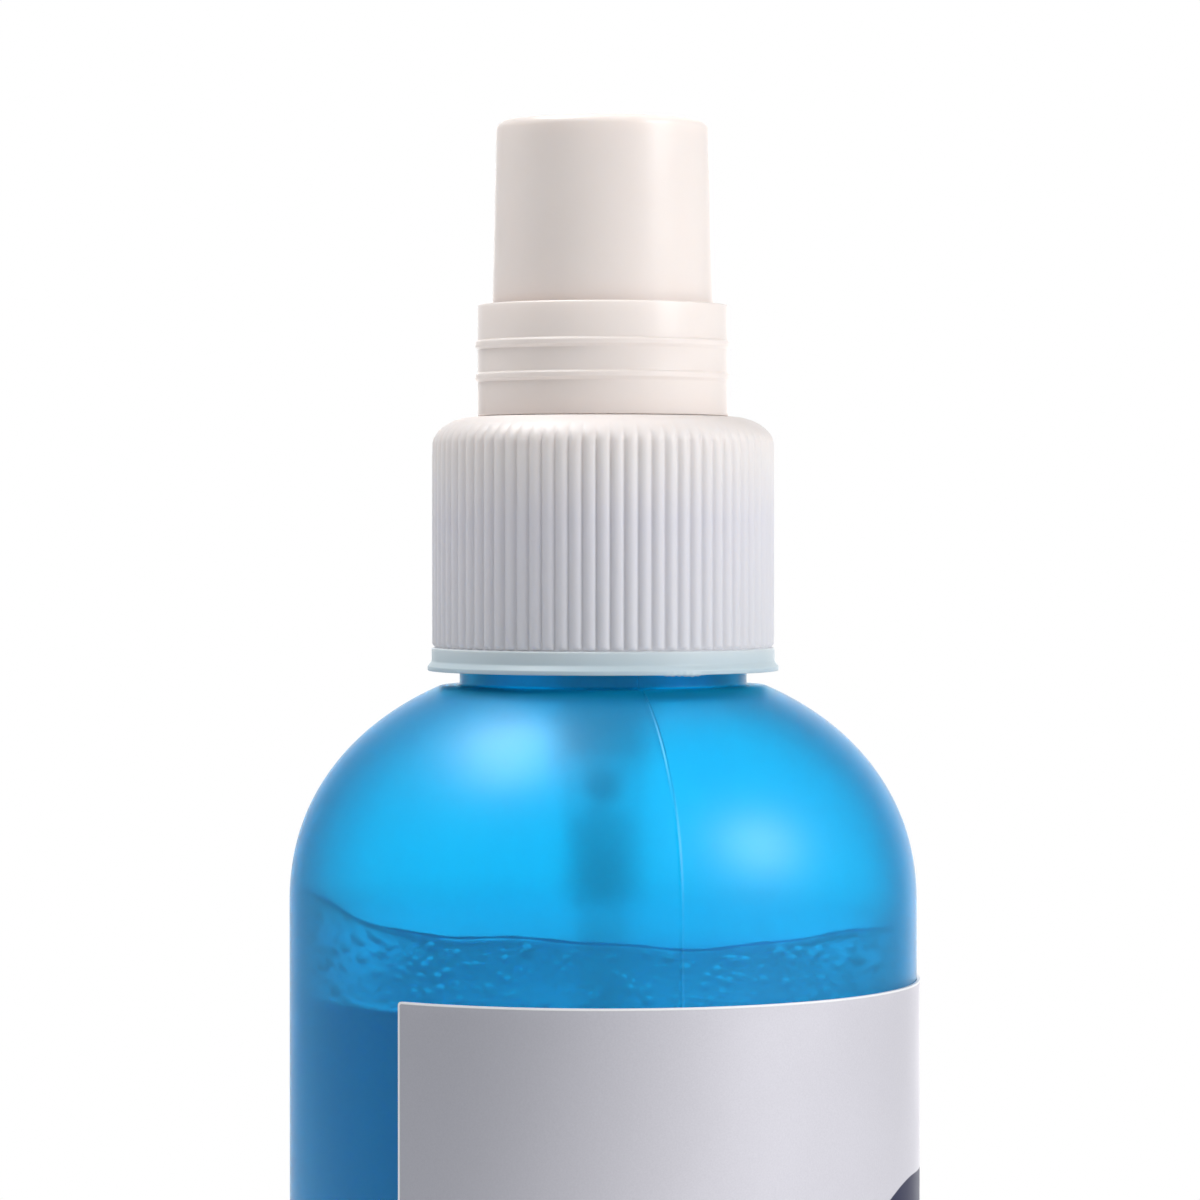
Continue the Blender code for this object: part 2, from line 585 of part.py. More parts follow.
def head(surface, parent):
    """Push-button head: a tapered cup with a stem socket and a boss for the nozzle inside it."""
    edge = HEAD_EDGE_RADIUS
    roof = HEAD_TOP_Z - HEAD_ROOF
    socket = STEM_RADIUS + SLIDING_GAP
    socket_top = STEM_TOP_Z + GAP
    post_low = COLLAR_Z + COLLAR_WEB + STROKE + GAP
    duct_top = NOZZLE_Z + DUCT_ROOF
    outline = [(0.0, duct_top), (STEM_BORE_RADIUS, duct_top), (STEM_BORE_RADIUS, socket_top)]
    outline += [(socket, socket_top), (socket, post_low), (HEAD_POST_RADIUS, post_low)]
    outline += [(HEAD_POST_RADIUS, roof), (HEAD_TOP_RADIUS - HEAD_WALL, roof)]
    outline += [(HEAD_BOTTOM_RADIUS - HEAD_WALL, HEAD_Z), (HEAD_BOTTOM_RADIUS, HEAD_Z)]
    outline += arc(HEAD_TOP_RADIUS - edge, HEAD_TOP_Z - edge, edge, 0.0, 90.0, 3)
    outline += [(0.0, HEAD_TOP_Z)]
    made = place("head", turned("head", outline, MIDDLE_STEPS, closed=False), surface, parent)
    wall_y = HEAD_TOP_RADIUS - HEAD_WALL / 2
    boss_y = HEAD_POST_RADIUS - HEAD_WALL
    boss = rod_along_y("nozzle_boss", NOZZLE_BOSS_RADIUS, boss_y, wall_y, NOZZLE_Z, FINE_STEPS)
    duct = rod_along_y("nozzle_duct", DUCT_RADIUS, 0.0, NOZZLE_BACK_Y, NOZZLE_Z, FINE_STEPS)
    recess = rod_along_y("nozzle_recess", NOZZLE_RADIUS + SLIDING_GAP, NOZZLE_BACK_Y - GAP,
                         HEAD_BOTTOM_RADIUS + HEAD_WALL, NOZZLE_Z, FINE_STEPS)
    for tool_mesh, operation in ((boss, "UNION"), (duct, "DIFFERENCE"), (recess, "DIFFERENCE")):
        tool = merge_or_cut(made, tool_mesh, operation)
        tool.parent = parent
        tool_mesh.transform(Matrix.Translation((0.0, 0.0, -parent.matrix_world.translation.z)))
    return made


def nozzle_insert(surface, parent):
    """Spray insert: a cup whose face has a dished exit and a fine hole."""
    length = NOZZLE_LENGTH
    cup = NOZZLE_RADIUS - NOZZLE_WALL
    back = length - NOZZLE_FACE
    outline = [(ORIFICE_RADIUS, length - NOZZLE_DISH_DEPTH), (NOZZLE_DISH_RADIUS, length)]
    outline += [(NOZZLE_RADIUS, length), (NOZZLE_RADIUS, 0.0), (cup, 0.0), (cup, back), (ORIFICE_RADIUS, back)]
    mesh = turned("nozzle_insert", outline, FINE_STEPS)
    mesh.transform(Matrix.Rotation(math.radians(-90.0), 4, "X"))
    mesh.transform(Matrix.Translation((0.0, NOZZLE_BACK_Y * MM, NOZZLE_Z * MM)))
    return place("nozzle_insert", mesh, surface, parent)


def build():
    clear_scene()
    blue = plastic("blue_translucent", (0.02, 0.36, 0.72), 0.35)
    silver = plastic("label_silver", (0.55, 0.56, 0.60), 0.45, 0.3)
    cleaner = plastic("blue_liquid", (0.0, 0.13, 0.38), 0.05)
    white = plastic("white_plastic", (0.86, 0.83, 0.80), 0.4)
    natural = plastic("natural_plastic", (0.80, 0.82, 0.82), 0.4)
    rubber = plastic("gasket_foam", (0.70, 0.70, 0.68), 0.8)
    steel = plastic("stainless_steel", (0.60, 0.60, 0.60), 0.25, 1.0)

    pump = group("pump_axis", CLOSURE_Z)
    screw = group("closure_axis", CLOSURE_Z, pump)
    plunger = group("plunger_axis", GLAND_Z, pump)
    button = group("head_axis", HEAD_Z, plunger)

    bottle(blue)
    label(silver)
    liquid_fill(cleaner)
    closure(white, screw)
    collar(white, pump)
    pump_housing(natural, pump)
    ring("neck_gasket", GASKET_BORE_RADIUS, FLANGE_RADIUS, GASKET_Z, GASKET_THICKNESS, rubber, pump)
    gland_bore = STEM_RADIUS + SLIDING_GAP
    gland_outer = BARREL_RADIUS + GLAND_WALL - 2 * SLIDING_GAP
    ring("stem_gasket", gland_bore, gland_outer, GLAND_Z + GAP, GLAND_THICKNESS, rubber, pump)
    dip_tube(natural, pump)
    check_ball(steel, pump)
    return_spring(steel, pump)
    stem(natural, plunger)
    valve_rod(natural, plunger)
    piston(natural, plunger)
    head(white, button)
    nozzle_insert(white, button)


build()
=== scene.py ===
import math

import bmesh
import bpy
from mathutils import Matrix, Vector


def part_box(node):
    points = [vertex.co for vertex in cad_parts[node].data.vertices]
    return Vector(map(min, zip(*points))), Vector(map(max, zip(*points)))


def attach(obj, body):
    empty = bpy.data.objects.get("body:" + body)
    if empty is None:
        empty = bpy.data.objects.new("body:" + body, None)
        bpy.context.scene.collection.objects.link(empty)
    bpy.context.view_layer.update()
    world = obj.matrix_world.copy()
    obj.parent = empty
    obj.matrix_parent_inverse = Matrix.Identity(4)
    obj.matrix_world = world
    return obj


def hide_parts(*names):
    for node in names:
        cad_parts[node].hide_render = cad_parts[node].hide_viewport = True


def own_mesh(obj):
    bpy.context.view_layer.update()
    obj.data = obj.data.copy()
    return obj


# A finger mist spray bottle in its natural finishes: frosted blue polyethylene with blue cleaner and froth
# inside, a silver wrap-round label, and a white moulded sprayer. It is made from the foot upwards.
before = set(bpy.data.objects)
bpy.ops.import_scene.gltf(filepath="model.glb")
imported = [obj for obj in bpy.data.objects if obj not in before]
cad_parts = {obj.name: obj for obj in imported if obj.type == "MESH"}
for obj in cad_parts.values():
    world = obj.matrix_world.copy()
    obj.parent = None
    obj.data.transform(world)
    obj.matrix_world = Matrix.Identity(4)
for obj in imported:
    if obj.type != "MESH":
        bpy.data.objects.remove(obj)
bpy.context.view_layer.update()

# Camera: level with the closure, and close enough that only the upper half of the bottle is in view.
camera_data = bpy.data.cameras.new("camera")
camera_data.sensor_width = 36.0
camera_data.lens = 144.75
camera = bpy.data.objects.new("camera", camera_data)
camera.location = (-0.00025, -0.385, 0.1346)
aim = Vector((-0.00025, 0.0, 0.1280)) - camera.location
camera.rotation_euler = aim.to_track_quat("-Z", "Y").to_euler()
bpy.context.scene.collection.objects.link(camera)
bpy.context.scene.camera = camera

# Bottle: one blow moulding in translucent blue polyethylene, about 1 mm thick. The mould's two halves
# leave a fine flash line up opposite sides, over the shoulder and neck, and the base is pushed up inside
# its foot.
MM = 0.001
bottle_low, bottle_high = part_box("bottle")
bottle_radius = (bottle_high.x - bottle_low.x) / 2 / MM
land_z = bottle_high.z / MM
bottle_wall = 1.0
heel_radius = 4.0
foot_radius = 19.0
push_up = 3.0
shoulder_z = 104.0
shoulder_rise = 19.6
shoulder_power = 2.15
shoulder_land = 1.5
neck_radius = 11.45
neck_root_radius = 10.9
neck_bore_radius = 9.3
neck_step_z = 124.4
thread_pitch = 3.175
thread_z = 129.8
flash_angles = (math.radians(-76.4), math.radians(103.6))
flash_height = 0.07
flash_half_angle = 0.0045


def filleted(corners, steps=6):
    """An outline with each (radius, height, fillet) corner rounded by its own fillet."""
    points = []
    count = len(corners)
    for i, (r, z, fillet) in enumerate(corners):
        here = Vector((r, z))
        back = Vector(corners[i - 1][:2]) - here
        ahead = Vector(corners[(i + 1) % count][:2]) - here
        if not fillet:
            points.append((r, z))
            continue
        half = back.angle(ahead) / 2
        reach = fillet / math.tan(half)
        start = here + back.normalized() * reach
        end = here + ahead.normalized() * reach
        centre = here + (back.normalized() + ahead.normalized()).normalized() * fillet / math.sin(half)
        first = start - centre
        sweep = first.angle_signed(end - centre)
        for k in range(steps + 1):
            turn = Matrix.Rotation(-sweep * k / steps, 2)
            points.append(tuple(centre + turn @ first))
    return points


def piece_from(name, vertices, faces, material, lining=None, lined=()):
    """A smooth object from vertices in millimetres, with its faces turned outwards.

    The faces whose numbers are in lined take the lining material.
    """
    mesh = bpy.data.meshes.new(name)
    mesh.from_pydata([Vector(v) * MM for v in vertices], [], faces)
    mesh.materials.append(material)
    if lining:
        mesh.materials.append(lining)
    for k in lined:
        mesh.polygons[k].material_index = 1
    bm = bmesh.new()
    bm.from_mesh(mesh)
    bmesh.ops.remove_doubles(bm, verts=bm.verts, dist=1e-7)
    bmesh.ops.recalc_face_normals(bm, faces=bm.faces)
    bm.to_mesh(mesh)
    bm.free()
    mesh.shade_smooth()
    mesh.set_sharp_from_angle(angle=math.radians(50.0))
    made = bpy.data.objects.new(name, mesh)
    bpy.context.scene.collection.objects.link(made)
    return made


def turned(outline, angles, closed=True, proud=None):
    """Vertices and faces of an outline swept round the axis; proud(angle, r, z) lifts the surface."""
    count = len(outline)
    vertices = []
    for i, (r, z) in enumerate(outline):
        before = outline[i - 1] if closed or i else outline[0]
        after = outline[(i + 1) % count] if closed or i < count - 1 else outline[-1]
        normal = Vector((after[1] - before[1], before[0] - after[0])).normalized()
        for angle in angles:
            lift = proud(angle, r, z) if proud and r > 0 else 0.0
            radius = r + normal.x * lift
            vertices.append((radius * math.cos(angle), radius * math.sin(angle), z + normal.y * lift))
    around = len(angles)
    faces = []
    for i in range(count if closed else count - 1):
        low = i * around
        high = (i + 1) % count * around
        for j in range(around):
            k = (j + 1) % around
            faces.append((low + j, low + k, high + k, high + j))
    return vertices, faces


def even_angles(columns):
    return [math.tau * j / columns for j in range(columns)]


def helix(section, radius, start_z, pitch_at, turns, per_turn, fade=0.0):
    """A closed section of (out, up) pairs swept up a helix; fade lowers it over its first and last turns."""
    steps = round(turns * per_turn)
    vertices = []
    for i in range(steps + 1):
        turn = i / per_turn
        angle = math.tau * turn
        full = min(1.0, (turn + 0.02) / fade, (turns - turn + 0.02) / fade) if fade else 1.0
        z = start_z + pitch_at(turn)
        for out, up in section:
            r = radius + out * full
            vertices.append((r * math.cos(angle), r * math.sin(angle), z + up))
    n = len(section)
    faces = [tuple(range(n)), tuple(range(len(vertices) - n, len(vertices)))]
    for i in range(steps):
        for k in range(n):
            m = (k + 1) % n
            faces.append((i * n + k, i * n + m, (i + 1) * n + m, (i + 1) * n + k))
    return vertices, faces


def joined(*shells):
    """Several (vertices, faces) shells as one."""
    vertices = []
    faces = []
    for more_vertices, more_faces in shells:
        base = len(vertices)
        vertices += more_vertices
        faces += [tuple(base + k for k in face) for face in more_faces]
    return vertices, faces


def floor_height(r):
    share = min(r / foot_radius, 1.0)
    return push_up * (1 + math.cos(math.pi * share)) / 2


def base_outline(offset, inner, steps):
    """Over the pushed-up floor and round the heel, offset into the wall."""
    points = []
    for i in range(steps + 1):
        r = inner + (foot_radius - inner) * i / steps
        points.append((r, floor_height(r) + offset))
    for i in range(17):
        angle = math.radians(-90 + 90 * i / 16)
        reach = heel_radius - offset
        points.append((bottle_radius - heel_radius + reach * math.cos(angle),
                       heel_radius + reach * math.sin(angle)))
    return points


def shoulder_outline(offset, neck, steps):
    """The shoulder's superellipse, from the straight wall in to the neck."""
    half_width = bottle_radius - offset
    end = math.acos((neck / half_width) ** (shoulder_power / 2))
    points = []
    for i in range(steps + 1):
        t = end * i / steps
        points.append((half_width * math.cos(t) ** (2 / shoulder_power),
                       shoulder_z + (shoulder_rise - offset) * math.sin(t) ** (2 / shoulder_power)))
    return points


def flash(angle, r, z):
    """The raised mould line, on the outside only; it ends above the foot."""
    if z < 0.5 or (r < neck_root_radius - 0.05 and z > 5.0):
        return 0.0
    lift = 0.0
    for line in flash_angles:
        away = (angle - line + math.pi) % math.tau - math.pi
        lift += flash_height * math.exp(-(away / flash_half_angle) ** 2)
    return lift


outer = base_outline(0.0, 0.0, 40) + shoulder_outline(0.0, neck_radius + shoulder_land, 56)
neck_foot_z = outer[-1][1] + 0.02
inner = shoulder_outline(bottle_wall, neck_radius + shoulder_land, 40)
inner_top_z = inner[-1][1]
outer += filleted([(*outer[-1], 0), (neck_radius, neck_foot_z, 0.25), (neck_radius, neck_step_z, 0.25),
                   (neck_root_radius, neck_step_z + 0.5, 0.25), (neck_root_radius, land_z, 0.4),
                   (neck_bore_radius, land_z, 0.2), (neck_bore_radius, inner_top_z, 0.8),
                    (*inner[-1], 0)])[1:-1]
inner = inner[::-1] + base_outline(bottle_wall, 0.0, 30)[::-1]
bottle_angles = even_angles(176)
for line in flash_angles:
    bottle_angles += [(line + flash_half_angle * k / 2) % math.tau for k in range(-5, 6)]
bottle_angles = sorted(bottle_angles)
thread_section = [(-0.5, -1.3), (1.0, -0.4), (1.0, 0.4), (-0.5, 1.3)]
neck_thread = helix(thread_section, neck_root_radius, thread_z, lambda t: thread_pitch * t, 1.5, 72,
                    fade=0.17)


def noise_at(nodes, links, scale, detail=3.0, stretch=None):
    """A Noise texture on the piece's own coordinates, stretched along Z if asked."""
    place = nodes.new("ShaderNodeTexCoord")
    noise = nodes.new("ShaderNodeTexNoise")
    noise.inputs["Scale"].default_value = scale
    noise.inputs["Detail"].default_value = detail
    source = place.outputs["Object"]
    if stretch:
        mapping = nodes.new("ShaderNodeMapping")
        mapping.inputs["Scale"].default_value = stretch
        links.new(source, mapping.inputs["Vector"])
        source = mapping.outputs["Vector"]
    links.new(source, noise.inputs["Vector"])
    return noise.outputs["Fac"]


def spread(nodes, links, value, low, high):
    """Map a noise's middle range on to low..high."""
    ranged = nodes.new("ShaderNodeMapRange")
    ranged.inputs["From Min"].default_value = 0.3
    ranged.inputs["From Max"].default_value = 0.7
    ranged.inputs["To Min"].default_value = low
    ranged.inputs["To Max"].default_value = high
    links.new(value, ranged.inputs["Value"])
    return ranged.outputs["Result"]


def tinted(nodes, links, value, first, second):
    """A colour that drifts between two tints with a noise."""
    mix = nodes.new("ShaderNodeMix")
    mix.data_type = "RGBA"
    links.new(spread(nodes, links, value, 0.0, 1.0), mix.inputs[0])
    mix.inputs[6].default_value = (*first, 1.0)
    mix.inputs[7].default_value = (*second, 1.0)
    return mix.outputs[2]


def bumped(nodes, links, value, strength, distance):
    bump = nodes.new("ShaderNodeBump")
    bump.inputs["Strength"].default_value = strength
    bump.inputs["Distance"].default_value = distance
    links.new(value, bump.inputs["Height"])
    return bump.outputs["Normal"]


def surface(name):
    """A new Principled material, with its node tree's nodes and links."""
    made = bpy.data.materials.new(name)
    made.use_nodes = True
    nodes = made.node_tree.nodes
    return made, nodes, made.node_tree.links, nodes["Principled BSDF"]


def height_on_piece(nodes, links, low, high):
    """0 to 1 between two heights of the piece's own Z."""
    place = nodes.new("ShaderNodeTexCoord")
    parts = nodes.new("ShaderNodeSeparateXYZ")
    links.new(place.outputs["Object"], parts.inputs[0])
    ranged = nodes.new("ShaderNodeMapRange")
    ranged.inputs["From Min"].default_value = low
    ranged.inputs["From Max"].default_value = high
    links.new(parts.outputs["Z"], ranged.inputs["Value"])
    return ranged.outputs["Result"]


def chosen(nodes, links, factor, first, second):
    """One colour or the other by a 0 to 1 factor; each is a colour or an output."""
    mix = nodes.new("ShaderNodeMix")
    mix.data_type = "RGBA"
    links.new(factor, mix.inputs[0])
    for slot, value in ((6, first), (7, second)):
        if isinstance(value, tuple):
            mix.inputs[slot].default_value = (*value, 1.0)
        else:
            links.new(value, mix.inputs[slot])
    return mix.outputs[2]


def multiplied(nodes, links, first, second):
    """Two colours multiplied, as a shade over a ground."""
    mix = nodes.new("ShaderNodeMix")
    mix.data_type = "RGBA"
    mix.blend_type = "MULTIPLY"
    mix.inputs[0].default_value = 1.0
    links.new(first, mix.inputs[6])
    links.new(second, mix.inputs[7])
    return mix.outputs[2]


def height_tones(nodes, links, stops):
    """A colour by height, from (height, colour) stops in rising order."""
    low = stops[0][0]
    high = stops[-1][0]
    ramp = nodes.new("ShaderNodeValToRGB")
    links.new(height_on_piece(nodes, links, low * MM, high * MM), ramp.inputs[0])
    marks = ramp.color_ramp.elements
    marks[0].color = (*stops[0][1], 1.0)
    marks[1].color = (*stops[-1][1], 1.0)
    for z, tone in stops[1:-1]:
        marks.new((z - low) / (high - low)).color = (*tone, 1.0)
    return ramp.outputs["Color"]


def blown_polyethylene(name, stops, roughness, clearness, wax):
    """Blue wall with faint vertical flow streaks, its tint by height with painted light at the neck: frosted
    outside, smooth inside.
    """
    made, nodes, links, shader = surface(name)
    streaks = noise_at(nodes, links, 260.0, 4.0, stretch=(1.0, 1.0, 0.08))
    clouds = noise_at(nodes, links, 90.0, 3.0)
    skin = noise_at(nodes, links, 2400.0, 2.0)
    drift = tinted(nodes, links, streaks, (0.93, 0.95, 0.97), (1.0, 1.0, 1.0))
    blue = multiplied(nodes, links, drift, height_tones(nodes, links, stops))
    links.new(blue, shader.inputs["Base Color"])
    links.new(spread(nodes, links, clouds, roughness, roughness + 0.06), shader.inputs["Roughness"])
    links.new(bumped(nodes, links, skin, 0.12, 0.00003), shader.inputs["Normal"])
    shader.inputs["IOR"].default_value = 1.2
    shader.inputs["Transmission Weight"].default_value = clearness
    shader.inputs["Coat Weight"].default_value = wax
    shader.inputs["Coat Roughness"].default_value = 0.38
    return made


# Above about 121 mm both tints are brighter: painted light against the closure's shade on the neck.
outside_tones_painted_neck_light = [(95.0, (0.001, 0.45, 0.92)), (120.5, (0.001, 0.45, 0.92)), (121.2, (0.001, 0.62, 1.0)),
                 (140.0, (0.001, 0.62, 1.0))]
inside_tones_painted_neck_light = [(95.0, (0.16, 0.97, 1.0)), (102.4, (0.16, 0.97, 1.0)), (103.4, (0.18, 0.96, 0.84)),
                (120.7, (0.18, 0.96, 0.84)), (121.4, (0.3, 1.0, 1.0)), (140.0, (0.3, 1.0, 1.0))]
bottle_vertices, bottle_faces = turned(outer + inner, bottle_angles, closed=False, proud=flash)
first_inside = (len(outer) - 1) * len(bottle_angles)
bottle_shell = piece_from(
    "bottle_wall", *joined((bottle_vertices, bottle_faces), neck_thread),
    blown_polyethylene("blown_blue_polyethylene", outside_tones_painted_neck_light, 0.40, 0.68, 0.45),
    blown_polyethylene("bottle_inside", inside_tones_painted_neck_light, 0.08, 0.95, 0.0),
    range(first_inside, len(bottle_faces)))
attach(bottle_shell, "bottle_body")
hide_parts("bottle")

# Cleaner: the blue liquid, one body that fills the bottle to just below the shoulder and closes round the
# dip tube. Its top is a flat surface with a small climb at the wall.
liquid_low, liquid_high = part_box("liquid_fill")
liquid_z = liquid_high.z / MM
tube_radius = 2.0
film = 0.06


def coloured_cleaner():
    """Clear, deep blue, water-like liquid."""
    made, nodes, links, shader = surface("blue_cleaner")
    drift = noise_at(nodes, links, 60.0, 2.0)
    links.new(tinted(nodes, links, drift, (0.001, 0.17, 0.96), (0.002, 0.19, 0.99)),
              shader.inputs["Base Color"])
    shader.inputs["Roughness"].default_value = 0.06
    shader.inputs["IOR"].default_value = 1.33
    shader.inputs["Transmission Weight"].default_value = 0.7
    return made


liquid_inner = tube_radius + 0.05
liquid_outer = bottle_radius - bottle_wall - film
liquid_outline = base_outline(bottle_wall + film, liquid_inner, 30)
liquid_outline += filleted([(liquid_outer, liquid_z - 2.0, 0), (liquid_outer, liquid_z + 0.5, 0.1),
                            (liquid_outer - 1.2, liquid_z, 0.8), (liquid_inner, liquid_z, 0)])[:-1]
liquid_outline += [(liquid_inner, liquid_z)]
liquid_body = piece_from("liquid_body", *turned(liquid_outline, even_angles(160)), coloured_cleaner())
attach(liquid_body, "bottle_body")
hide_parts("liquid_fill")

# Froth: the foam left by carrying the bottle about. It is a ring that clings to the wall above the
# liquid, with an uneven top line, a deeper blue wet edge along that line, and a belt of small bubbles
# inside it.
froth_depth = 1.3
froth_sides = 24
froth_wall = bottle_radius - bottle_wall - film


def froth_line(angle):
    """Height of the froth against the wall: a dip at the front and a climb at the left."""
    height = 103.0 + 0.12 * math.sin(7 * angle + 1.3) + 0.08 * math.sin(16 * angle)
    for middle, reach, rise in ((-68.0, 28.0, -0.75), (-168.0, 24.0, 2.6)):
        away = (math.degrees(angle) - middle + 180.0) % 360.0 - 180.0
        height += rise * math.exp(-(away / reach) ** 2)
    return height


def froth_vertices():
    """A ring of froth that clings to the wall, lumpy on its inner side and sunk a little at its top."""
    angles = even_angles(360)
    vertices = []
    for i in range(froth_sides):
        turn = math.tau * i / froth_sides
        across = 0.5 - 0.5 * math.cos(turn)
        upward = 0.5 + 0.5 * math.sin(turn)
        for angle in angles:
            lump = 0.12 * math.sin(37 * angle + 5 * upward) * math.sin(9 * upward + 11 * angle) * across
            top = froth_line(angle) - 0.5 * across
            low = liquid_z + 0.55
            r = froth_wall - froth_depth * across + lump
            vertices.append((r * math.cos(angle), r * math.sin(angle), low + (top - low) * upward))
    around = len(angles)
    faces = []
    for i in range(froth_sides):
        for j in range(around):
            k = (j + 1) % around
            m = (i + 1) % froth_sides
            faces.append((i * around + j, m * around + j, m * around + k, i * around + k))
    return vertices, faces


def froth_skin():
    """Wet foam: a little milky, with bubble cells in the bump and tint."""
    made, nodes, links, shader = surface("froth")
    place = nodes.new("ShaderNodeTexCoord")
    cells = nodes.new("ShaderNodeTexVoronoi")
    cells.inputs["Scale"].default_value = 1100.0
    links.new(place.outputs["Object"], cells.inputs["Vector"])
    cloud = noise_at(nodes, links, 1500.0, 3.0)
    links.new(tinted(nodes, links, cloud, (0.76, 0.90, 0.96), (1.0, 1.0, 1.0)), shader.inputs["Base Color"])
    links.new(bumped(nodes, links, cells.outputs["Distance"], 0.35, 0.0002), shader.inputs["Normal"])
    shader.inputs["Roughness"].default_value = 0.04
    shader.inputs["IOR"].default_value = 1.06
    shader.inputs["Transmission Weight"].default_value = 0.96
    return made


def bubble_air():
    """The air in a bubble, seen from the liquid round it."""
    made, nodes, links, shader = surface("bubble_air")
    cloud = noise_at(nodes, links, 900.0, 2.0)
    links.new(tinted(nodes, links, cloud, (0.75, 0.94, 0.98), (0.90, 0.98, 1.0)),
              shader.inputs["Base Color"])
    shader.inputs["Roughness"].default_value = 0.03
    shader.inputs["IOR"].default_value = 0.92
    shader.inputs["Transmission Weight"].default_value = 0.97
    return made


def tree_inputs(tree, sockets):
    """Add named inputs to a Geometry Nodes tree, and its geometry output."""
    tree.interface.new_socket("Geometry", in_out="INPUT", socket_type="NodeSocketGeometry")
    for name, kind, value in sockets:
        made = tree.interface.new_socket(name, in_out="INPUT", socket_type=kind)
        if value is not None:
            made.default_value = value
    tree.interface.new_socket("Geometry", in_out="OUTPUT", socket_type="NodeSocketGeometry")
    return tree.nodes.new("NodeGroupInput"), tree.nodes.new("NodeGroupOutput")


def grown(base, tree, values, name):
    """Run a tree on an object, keep the result as a plain mesh, and drop the object it grew on."""
    modifier = base.modifiers.new(tree.name, "NODES")
    modifier.node_group = tree
    for item in tree.interface.items_tree:
        if item.in_out == "INPUT" and item.name in values:
            modifier[item.identifier] = values[item.name]
    bpy.context.view_layer.update()
    shape = base.evaluated_get(bpy.context.evaluated_depsgraph_get())
    mesh = bpy.data.meshes.new_from_object(shape)
    mesh.name = name
    bpy.data.objects.remove(base, do_unlink=True)
    made = bpy.data.objects.new(name, mesh)
    bpy.context.scene.collection.objects.link(made)
    mesh.shade_smooth()
    return made


def bubble_tree(material):
    """Small bubbles scattered on a surface, of random sizes, as real faces."""
    tree = bpy.data.node_groups.new("bubbles", "GeometryNodeTree")
    source, sink = tree_inputs(tree, (("Bubbles per Area", "NodeSocketFloat", 3.0e5),
                                      ("Smallest", "NodeSocketFloat", 0.0001),
                                      ("Largest", "NodeSocketFloat", 0.0004),
                                      ("Seed", "NodeSocketInt", 4)))
    scatter = tree.nodes.new("GeometryNodeDistributePointsOnFaces")
    ball = tree.nodes.new("GeometryNodeMeshIcoSphere")
    ball.inputs["Radius"].default_value = 1.0
    ball.inputs["Subdivisions"].default_value = 2
    size = tree.nodes.new("FunctionNodeRandomValue")
    instance = tree.nodes.new("GeometryNodeInstanceOnPoints")
    real = tree.nodes.new("GeometryNodeRealizeInstances")
    paint = tree.nodes.new("GeometryNodeSetMaterial")
    paint.inputs["Material"].default_value = material
    wires = ((source.outputs["Geometry"], scatter.inputs["Mesh"]),
             (source.outputs["Bubbles per Area"], scatter.inputs["Density"]),
             (source.outputs["Seed"], scatter.inputs["Seed"]),
             (source.outputs["Smallest"], size.inputs[2]),
             (source.outputs["Largest"], size.inputs[3]),
             (source.outputs["Seed"], size.inputs["Seed"]),
             (scatter.outputs["Points"], instance.inputs["Points"]),
             (ball.outputs["Mesh"], instance.inputs["Instance"]),
             (size.outputs[1], instance.inputs["Scale"]),
             (instance.outputs["Instances"], real.inputs["Geometry"]),
             (real.outputs["Geometry"], paint.inputs["Geometry"]),
             (paint.outputs["Geometry"], sink.inputs["Geometry"]))
    for start, end in wires:
        tree.links.new(start, end)
    return tree


froth_material = froth_skin()
froth_body = piece_from("froth_body", *froth_vertices(), froth_material)
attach(froth_body, "bottle_body")


def wet_edge():
    """The deeper blue bead of liquid that the froth draws up along its line on the wall."""
    made, nodes, links, shader = surface("wet_edge")
    drift = noise_at(nodes, links, 500.0, 2.0)
    links.new(tinted(nodes, links, drift, (0.001, 0.10, 0.55), (0.002, 0.22, 0.75)),
              shader.inputs["Base Color"])
    shader.inputs["Roughness"].default_value = 0.2
    shader.inputs["IOR"].default_value = 1.33
    shader.inputs["Transmission Weight"].default_value = 0.4
    return made


rim_sides = 8
rim_vertices = []
rim_angles = even_angles(288)
for angle in rim_angles:
    bead = 0.11 + 0.04 * math.sin(17 * angle) * math.sin(29 * angle + 1.0)
    for k in range(rim_sides):
        turn = math.tau * k / rim_sides
        r = froth_wall - 0.16 + bead * math.cos(turn)
        rim_vertices.append((r * math.cos(angle), r * math.sin(angle),
                             froth_line(angle) + bead * math.sin(turn)))
rim_faces = []
for i in range(len(rim_angles)):
    ring_start = i * rim_sides
    next_start = (i + 1) % len(rim_angles) * rim_sides
    for k in range(rim_sides):
        next_side = (k + 1) % rim_sides
        rim_faces.append((ring_start + k, next_start + k, next_start + next_side, ring_start + next_side))
froth_rim = piece_from("froth_rim", rim_vertices, rim_faces, wet_edge())
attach(froth_rim, "bottle_body")
belt_radius = froth_wall - 0.47
belt_angles = even_angles(180)
belt_low = [(belt_radius * math.cos(a), belt_radius * math.sin(a), liquid_z - 0.5 + 0.4 * math.sin(9 * a))
            for a in belt_angles]
belt_high = [(belt_radius * math.cos(a), belt_radius * math.sin(a), froth_line(a) - 0.5)
             for a in belt_angles]
belt_count = len(belt_angles)
belt_faces = [(j, (j + 1) % belt_count, belt_count + (j + 1) % belt_count, belt_count + j)
              for j in range(belt_count)]
belt = piece_from("bubble_belt", belt_low + belt_high, belt_faces, froth_material)
bubbles = grown(belt, bubble_tree(bubble_air()),
                {"Bubbles per Area": 1.0e6, "Smallest": 0.0001, "Largest": 0.00045, "Seed": 4},
                "froth_bubbles")
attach(bubbles, "bottle_body")

# Label: a silver film wrapped three quarters round the straight wall and die-cut, with a thin white border
# painted round its face as the highlight on its edges. A dark blue panel with rounded corners is printed
# low on its right side.
label_low, label_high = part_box("label")
label_inner = bottle_radius + 0.03
label_outer = bottle_radius + 0.24
label_left = math.radians(-128.0)
label_span = math.radians(270.0)
label_bottom = label_low.z / MM
label_top = label_high.z / MM
label_corner = 0.25


